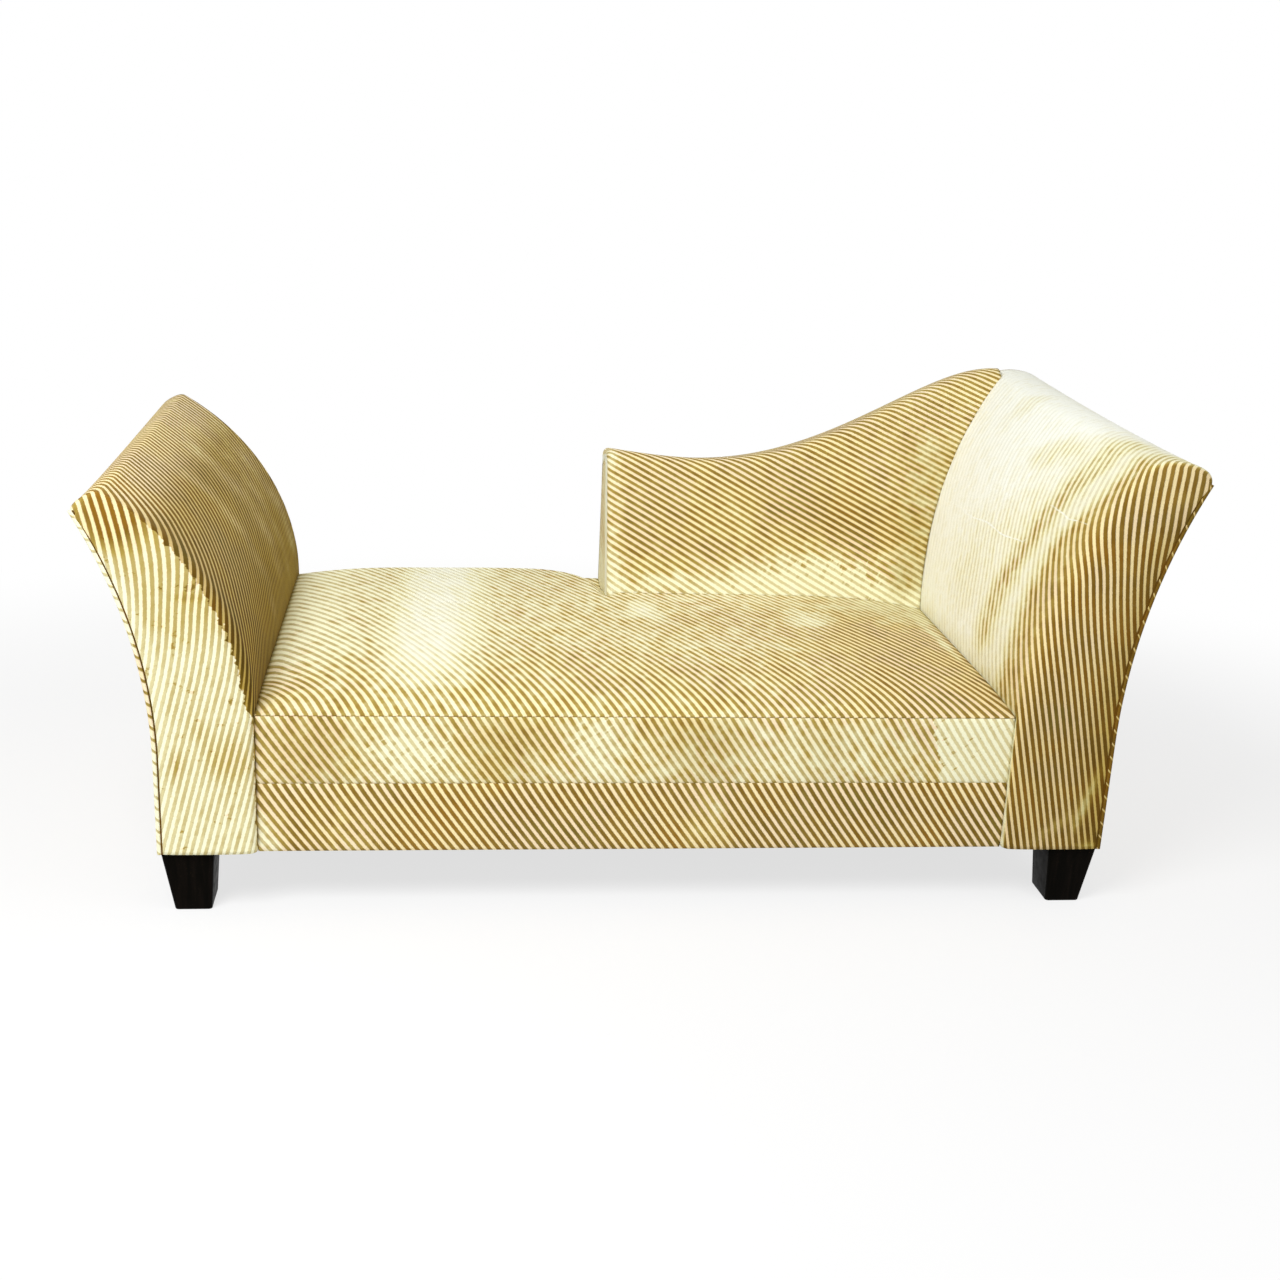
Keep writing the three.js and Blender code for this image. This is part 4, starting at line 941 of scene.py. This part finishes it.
# Outside of the back: a flat panel under the cover's rear lap
def buildOutsideBack():
    share = np.linspace(0, 1, 90)
    rise = np.linspace(0, 1, 50)
    left = 2 * gap - backLook["end"]
    x = mix(left, backLook["right"] - 10, share)[:, None] + 0 * rise
    top = backTop(x) - backLook["lap"] - 0.5
    z = mix(bodyLook["borderTop"] + gap, top, rise)
    x = np.minimum(x, mix(left, armReach(z), share[:, None]))
    edge = dome(share[:, None], 10) * dome(rise, 10)
    outer = np.stack([x, depth - 0.8 + 0.8 * edge, z], -1)
    inner = np.stack([x, 0 * x + padBack + gap, z], -1)
    piece = addShell("back_outside_panel", outer, inner, plainFields(x, z, 0.55), ["outside_back_panel"])


buildBack()
buildOutsideBack()
print("back made")

# Seat: a crowned top that rolls down to its front seam, to the arms and into the hollow beside the back's end
seatGrid = {"left": 116, "right": 118, "before": 112, "behind": 44, "under": 251, "notch": -10.5,
            "rearLine": 664.0, "foamRear": 611, "lipDepths": (3.6, 0.8, 0.0), "lipDrops": (-2.9, -2.6, -1.4)}
seatStripes = {"across": 0.0605, "up": 0.0250, "upBend": 0.0000072, "end": 248, "endRate": 0.022, "rim": 30,
               "rimRate": 0.045, "rightRate": 0.009, "near": 1.9}


# Height of the top: seam + crown, where the crown falls as |t|^5 to the front, by a power of x to the arms
# and in a quarter round to the rear
def seatTop(x, y):
    across = 1 - 0.75 * np.abs(x / half) ** 6
    t = 2 * y / depth - 1
    past = clamp((y - depth + bodyLook["rearRound"]) / bodyLook["rearRound"])
    rounded = 1 - np.sqrt(1 - past ** 2)
    share = np.where(t <= 0, 1 - np.abs(t) ** 5, 1 - 0.16 * t ** 4 - 0.84 * rounded)
    z = seam + bodyLook["crown"] * across * share
    away = (clamp((x + 190) / 180) ** 2.2 + clamp((y - 690) / 214) ** 2.2) ** (1 / 2.2)
    hollow = soft(away, 0.84, 1.14) * (x < 0) * soft(y, 640, 700)
    return z - (z - seam - 1) * hollow


def seatCount(x, y):
    look = seatStripes
    left = clamp((look["end"] - half - x) / look["end"])
    rim = clamp((look["rim"] - half - x) / look["rim"])
    right = clamp((x - half + look["end"]) / look["end"])
    near = clamp((x - 150) / 548) ** 2
    count = look["across"] * x + look["up"] * y + look["upBend"] * y ** 2
    ends = look["endRate"] * look["end"] * left ** 2 / 2 + look["rimRate"] * look["rim"] * rim ** 2 / 2
    count += ends * soft(y, 40, 200) - look["rightRate"] * look["end"] * right ** 2 / 2
    return count - look["near"] * near * (1 - np.exp(-y / 160))


def seatWearAndPaintedLight(x, y):
    right = soft(x, 230, 540)
    front = 0.44 - 0.2 * right + 0.2 * soft(x, -480, -640) * soft(y, 60, 300)
    rear = 0.2 * soft(y, 120, 420) * (1 - 0.95 * right) + 0.4 * right * soft(y, 400, 620)
    rear -= 0.14 * soft(x, -40, 60) * patch(x, y, (200, 460), (400, 90))
    # Painted reflection: a pale band down the seat's left part, where the nap gives back the light
    band = 0.75 * patch(x, y, (-385, 480), (85, 900), -3) * soft(y, -60, 260)
    ends = 0.16 * soft(x, 500, 620) * soft(y, 340, 500) + 0.07 * soft(x, -100, -300) * soft(y, 60, 200)
    return np.clip(front + rear + band + ends + marked(x, y, "seatWearAndPaintedLight"), 0, 1.7)


# Painted shade: darker in the crevices along both arms and towards the rear right
def seatPaintedShade(x, y):
    tan = 0.2 * soft(y, 380, 600) * soft(x, 300, 560)
    edge = (1 - soft(y, 700, 900) * 0.5) * (0.25 * soft(x, -655, -698) + 0.5 * soft(x, -688, -698))
    return clamp(tan + edge + 0.4 * soft(x, 684, 697) * soft(y, 20, 80))


# The seat's sheet starts with a short lip under its front seam. Its inner sheet is the underside of the foam,
# which stops short of the back's foot; the corner that the back takes up is left out.
def buildSeat():
    edge = half - gap
    notch = seatGrid["notch"]
    beside = np.linspace(notch, edge, seatGrid["right"])[1:]
    x = np.concatenate([np.linspace(-edge, notch, seatGrid["left"]), beside])
    rearLine = seatGrid["rearLine"]
    notchY = np.where(x <= notch, rearLine, backFace(seatTop(x, rearLine + 0 * x)) - 0.8)
    before = np.linspace(0, 1, seatGrid["before"]) ** 1.15
    behind = np.linspace(0, 1, seatGrid["behind"] + 1)[1:]
    behind = 1 - (1 - behind) ** 1.3
    y = np.concatenate([notchY * before[:, None], notchY + (depth - 0.4 - notchY) * behind[:, None]])
    gridX = np.broadcast_to(x, y.shape)
    crease = np.exp(-((y - 580) / 4) ** 2) * patch(gridX, y, (-270, 580), (90, 60))
    stuffing = 0.7 * unevenness(gridX, y, 230) * soft(y, 30, 120) * soft(np.abs(gridX), 690, 560)
    z = seatTop(gridX, y) - 1.4 * crease + stuffing
    lipY, lipDrop = (np.array(seatGrid[key])[:, None] + 0 * y[:3] for key in ("lipDepths", "lipDrops"))
    lip = np.stack([np.broadcast_to(x, lipY.shape), lipY, seam + lipDrop], -1)
    outer = np.concatenate([lip, np.stack([gridX, y, z], -1)])
    inner = outer.copy()
    inner[..., 2] = seatGrid["under"]
    stop = np.where(inner[..., 0] > notch + 0.01, seatGrid["foamRear"], padBack)
    inner[..., 1] = np.minimum(np.maximum(inner[..., 1], setBack), stop)
    atNotch = seatGrid["left"] - 1
    inner[:, atNotch, 1] = np.minimum(outer[:, atNotch, 1], padBack)
    keep = np.ones((outer.shape[0] - 1, outer.shape[1] - 1), bool)
    keep[seatGrid["before"] + 2:, atNotch:] = False
    x, y = outer[..., 0], outer[..., 1]
    fields = {"across": seatCount(x, y), "along": (y * 0.88 - x * 0.47) / 14, "wearAndPaintedLight": seatWearAndPaintedLight(x, y),
              "paintedShade": seatPaintedShade(x, y)}
    piece = addShell("seat_cushion", outer, inner, fields, ["seat_top_cover", "seat_foam"], keep)


# A band of cloth along the front or rear: a flat strip with a soft crown, drawn in at its two seams
bandLook = {"crown": 2.6, "drawnIn": 0.9, "across": 0.0604, "up": 0.0445, "bend": 0.00003, "bendFrom": 0.2}


def buildBand(name, node, ends, heights, rear, offset, kinds):
    x = np.linspace(*ends, 260)
    t = np.linspace(-1, 1, 30)
    gridX, gridT = np.meshgrid(x, t, indexing="ij")
    z = mix(*heights, (gridT + 1) / 2)
    crown = bandLook["crown"] * (1 - gridT ** 6) - bandLook["drawnIn"]
    cloth = bodyLook["cloth"]
    outer = np.stack([gridX, (depth + crown) if rear else -crown, z], -1)
    inner = np.stack([gridX, 0 * z + (depth - cloth if rear else cloth), z], -1)
    past = z - mix(*heights, bandLook["bendFrom"])
    count = bandLook["across"] * gridX + bandLook["up"] * z - bandLook["bend"] * past * np.abs(past) + offset
    fields = {key: kind(gridX, z) for key, kind in kinds.items()}
    fields.update(across=count, along=(z * 0.83 - gridX * 0.56) / 14)
    piece = addShell(name, outer, inner, fields, [node])
    wide, high = ends[1] - ends[0], heights[1] - heights[0]
    wide / 1000
    high / 1000 + 0.004


# Wear on the front boxing, with pools of painted light in places
def boxingWearAndPaintedLight(x, z):
    pale = marked(x, z, "boxingWearAndPaintedLight") + 0.2 * soft(x, 540, 580)
    return np.clip(0.42 + 0.28 * pale + 0.1 * soft(z, 320, 255), 0, 1.5)


# Painted light: the right end of the boxing is painted pale up to a sharp slanting edge, and two more pools
# of light lie along it
def boxingPaintedLight(x, z):
    return 0.75 * soft(x + 0.25 * (z - 310), 538, 566) + marked(x, z, "boxingPaintedLight")


# Painted shade: brown shade between the lit places
def boxingPaintedShade(x, z):
    return marked(x, z, "boxingPaintedShade")


def borderWear(x, z):
    pale = marked(x, z, "borderWear") + 0.06 * soft(x, -500, -690)
    return clamp(0.12 + pale - 0.05 * soft(x, 100, 600))


def evenWear(x, z):
    return 0.15 + 0 * x


def buildBands():
    wide = (gap - half, half - gap)
    middle = bodyLook["borderTop"]
    upper, lower = (middle + gap, seam - 3.3), (foot - 4, middle)
    front = {"wearAndPaintedLight": boxingWearAndPaintedLight, "frayAndPaintedLight": boxingPaintedLight, "paintedShade": boxingPaintedShade}
    buildBand("seat_front_boxing", "seat_boxing", wide, upper, False, 0.3, front)
    buildBand("seat_front_border", "front_border", wide, lower, False, 0.0, {"wearAndPaintedLight": borderWear})
    buildBand("seat_rear_border", "rear_border", wide, lower, True, 0.5, {"wearAndPaintedLight": evenWear})
    beside = (wide[0], -backLook["end"] - gap)
    buildBand("seat_rear_boxing", "rear_boxing", beside, upper, True, 0.5, {"wearAndPaintedLight": evenWear})


buildSeat()
buildBands()
print("seat made")

# Dust cloth under the frame: stapled round its edge, sagging between as 1 - u^2 by 1 - v^2
dustSheet = {"sag": 1.2, "inset": 2.0, "front": 14.0, "columns": 60, "rows": 40, "below": 0.8,
             "thickness": 0.6}


def buildDustCloth():
    low, high = ((np.array(corner) - seatOrigin) * 1000 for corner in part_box("dust_cover"))
    columns, rows = (np.linspace(-1, 1, dustSheet[key]) for key in ("columns", "rows"))
    u, v = np.meshgrid(columns, rows, indexing="ij")
    low[:2] += dustSheet["inset"]
    low[1] += dustSheet["front"]
    high[:2] -= dustSheet["inset"]
    x, y = mix(low[0], high[0], (u + 1) / 2), mix(low[1], high[1], (v + 1) / 2)
    sag = dustSheet["sag"] * (1 - u ** 2) * (1 - v ** 2) * (1 + 0.3 * unevenness(x, y, 400))
    under = np.stack([x, y, high[2] - dustSheet["below"] - sag], -1)
    above = under + np.array([0, 0, dustSheet["thickness"]])
    fields = {"across": x / 1000, "along": y / 1000}
    slot = "dust_cloth"
    piece = addShell("dust_cloth", under, above, fields, ["dust_cover"], finish=slotFinish[slot], slot=slot)


buildDustCloth()
print("dust cloth made")

# Feet: a tapered block whose section is a rounded oblong, softened at its two ends. Rows are shares of the
# height, and pulls are how far each row is drawn in.
footShape = {"topWide": 94, "lowWide": 66, "topDeep": 98, "lowDeep": 82, "outerInset": 2, "taper": 21,
             "frontInset": 5, "frontTaper": 4, "round": 6, "around": 48,
             "rows": (0, 0, 0.006, 0.02, 0.25, 0.5, 0.75, 0.985, 1, 1),
             "pulls": (40, 1.5, 0.4, 0, 0, 0, 0, 0, 1.5, 40)}


# Each ring is a rounded oblong: corner centres plus a quarter circle, sizes mixed from the foot to the top
def buildFoot(arm, end):
    rows, pull = np.array(footShape["rows"]), np.array(footShape["pulls"])
    outer = half + arm["thickness"] - footShape["outerInset"]
    front = armFront + footShape["frontInset"]
    lowWide, topWide, lowDeep, topDeep = (footShape[k] for k in ("lowWide", "topWide", "lowDeep", "topDeep"))
    wide, deep = mix(lowWide, topWide, rows), mix(lowDeep, topDeep, rows)
    middleX = mix(outer - footShape["taper"] - lowWide / 2, outer - topWide / 2, rows)[:, None]
    middleY = mix(front + footShape["frontTaper"] + lowDeep / 2, front + topDeep / 2, rows)[:, None]
    turn = np.linspace(0, 2 * np.pi, footShape["around"], endpoint=False) + 0.01
    radius = footShape["round"]
    halfX, halfY = (np.maximum(size / 2 - pull - radius, 0)[:, None] for size in (wide, deep))
    x = middleX + np.sign(np.cos(turn)) * halfX + radius * np.cos(turn) * (halfX > 0)
    y = middleY + np.sign(np.sin(turn)) * halfY + radius * np.sin(turn) * (halfY > 0)
    z = (foot - gap) * rows[:, None] + 0 * x
    if end == "rear":
        y = depth + armFront - y
    points = np.stack([arm["side"] * x, y, z], -1)
    low, top = (points[[i]].mean(1, keepdims=True) + 0 * points[[i]] for i in (0, -1))
    points = np.concatenate([low, points, top])
    closed = np.concatenate([points, points[:, :1]], 1)
    quads = gridCells(*closed.shape[:2]).reshape(-1, 4)
    flat = closed.reshape(-1, 3)
    node = f"{arm['name']}_{end}_foot"
    addMesh(f"{node}_block", flat, outward(flat, quads), True, {}, [node], darkFoot, "foot_finish")


for arm in arms:
    for end in ("front", "rear"):
        buildFoot(arm, end)
print("feet made")

# Studio: a pale floor that runs out to white, an even white world and one large soft lamp from the left
studioLook = {"world": 0.44, "floor": colour(240, 240, 240), "white": 0.72, "clear": (1.4, 3.0),
              "reach": 14.0}
lamps = [
    {"name": "keyLamp", "place": (-1.5, -2.0, 3.0), "aim": (0.1, 0.0, 0.4), "size": 1.8, "power": 98},
    {"name": "fillLamp", "place": (2.4, -1.6, 3.4), "aim": (0.6, 0.3, 0.6), "size": 2.4, "power": 20},
]


def buildWorld():
    world = bpy.data.worlds.new("paleWorld")
    world.use_nodes = True
    bpy.context.scene.world = world
    tree = Nodes(world.node_tree)
    seen = tree.rays("Is Camera Ray", "Is Glossy Ray")
    levels = {"To Min": studioLook["world"], "To Max": 1.0, "Value": seen}
    level = tree.node("ShaderNodeMapRange", None, levels)
    sky = tree.tree.nodes["Background"]
    tree.join((1, 1, 1, 1), sky.inputs["Color"])
    tree.join(level, sky.inputs["Strength"])


def buildFloor():
    mesh = bpy.data.meshes.new("studioFloor")
    reach = studioLook["reach"]
    corners = [(-reach, -reach, 0), (reach, -reach, 0), (reach, reach, 0), (-reach, reach, 0)]
    mesh.from_pydata(corners, [], [(0, 1, 2, 3)])
    floor = addObject("studioFloor", mesh)
    surface = {"Base Color": studioLook["floor"], "Roughness": 0.9, "Specular IOR Level": 0.0}
    made = Finish("paleFloor", surface)
    at = made.place((1.0, 1.4, 1.0))
    away = made.node("ShaderNodeVectorMath", {"operation": "LENGTH"}, {0: at}, output="Value")
    seen = made.rays("Is Camera Ray", "Is Glossy Ray", "Is Transmission Ray")
    white = made.node("ShaderNodeEmission", None, {"Color": (1, 1, 1, 1), "Strength": 1.0})
    share = made.ramp(away, *studioLook["clear"], studioLook["white"]) * seen
    own = Wire(made, made.shader.outputs[0])
    both = made.node("ShaderNodeMixShader", None, {0: share, 1: own, 2: white})
    made.join(both, made.tree.nodes["Material Output"].inputs["Surface"])
    mesh.materials.append(made.material)


def addLamp(look):
    lamp = bpy.data.lights.new(look["name"], "AREA")
    lamp.shape = "DISK"
    lamp.size = look["size"]
    lamp.energy = look["power"]
    aim = np.array(look["aim"]) - np.array(look["place"])
    back = -aim / np.linalg.norm(aim)
    side = np.cross([0, 0, 1.0], back)
    side /= np.linalg.norm(side)
    stand(addObject(look["name"], lamp), look["place"], side, np.cross(back, side), back)


buildWorld()
buildFloor()
for look in lamps:
    addLamp(look)
print("studio set")
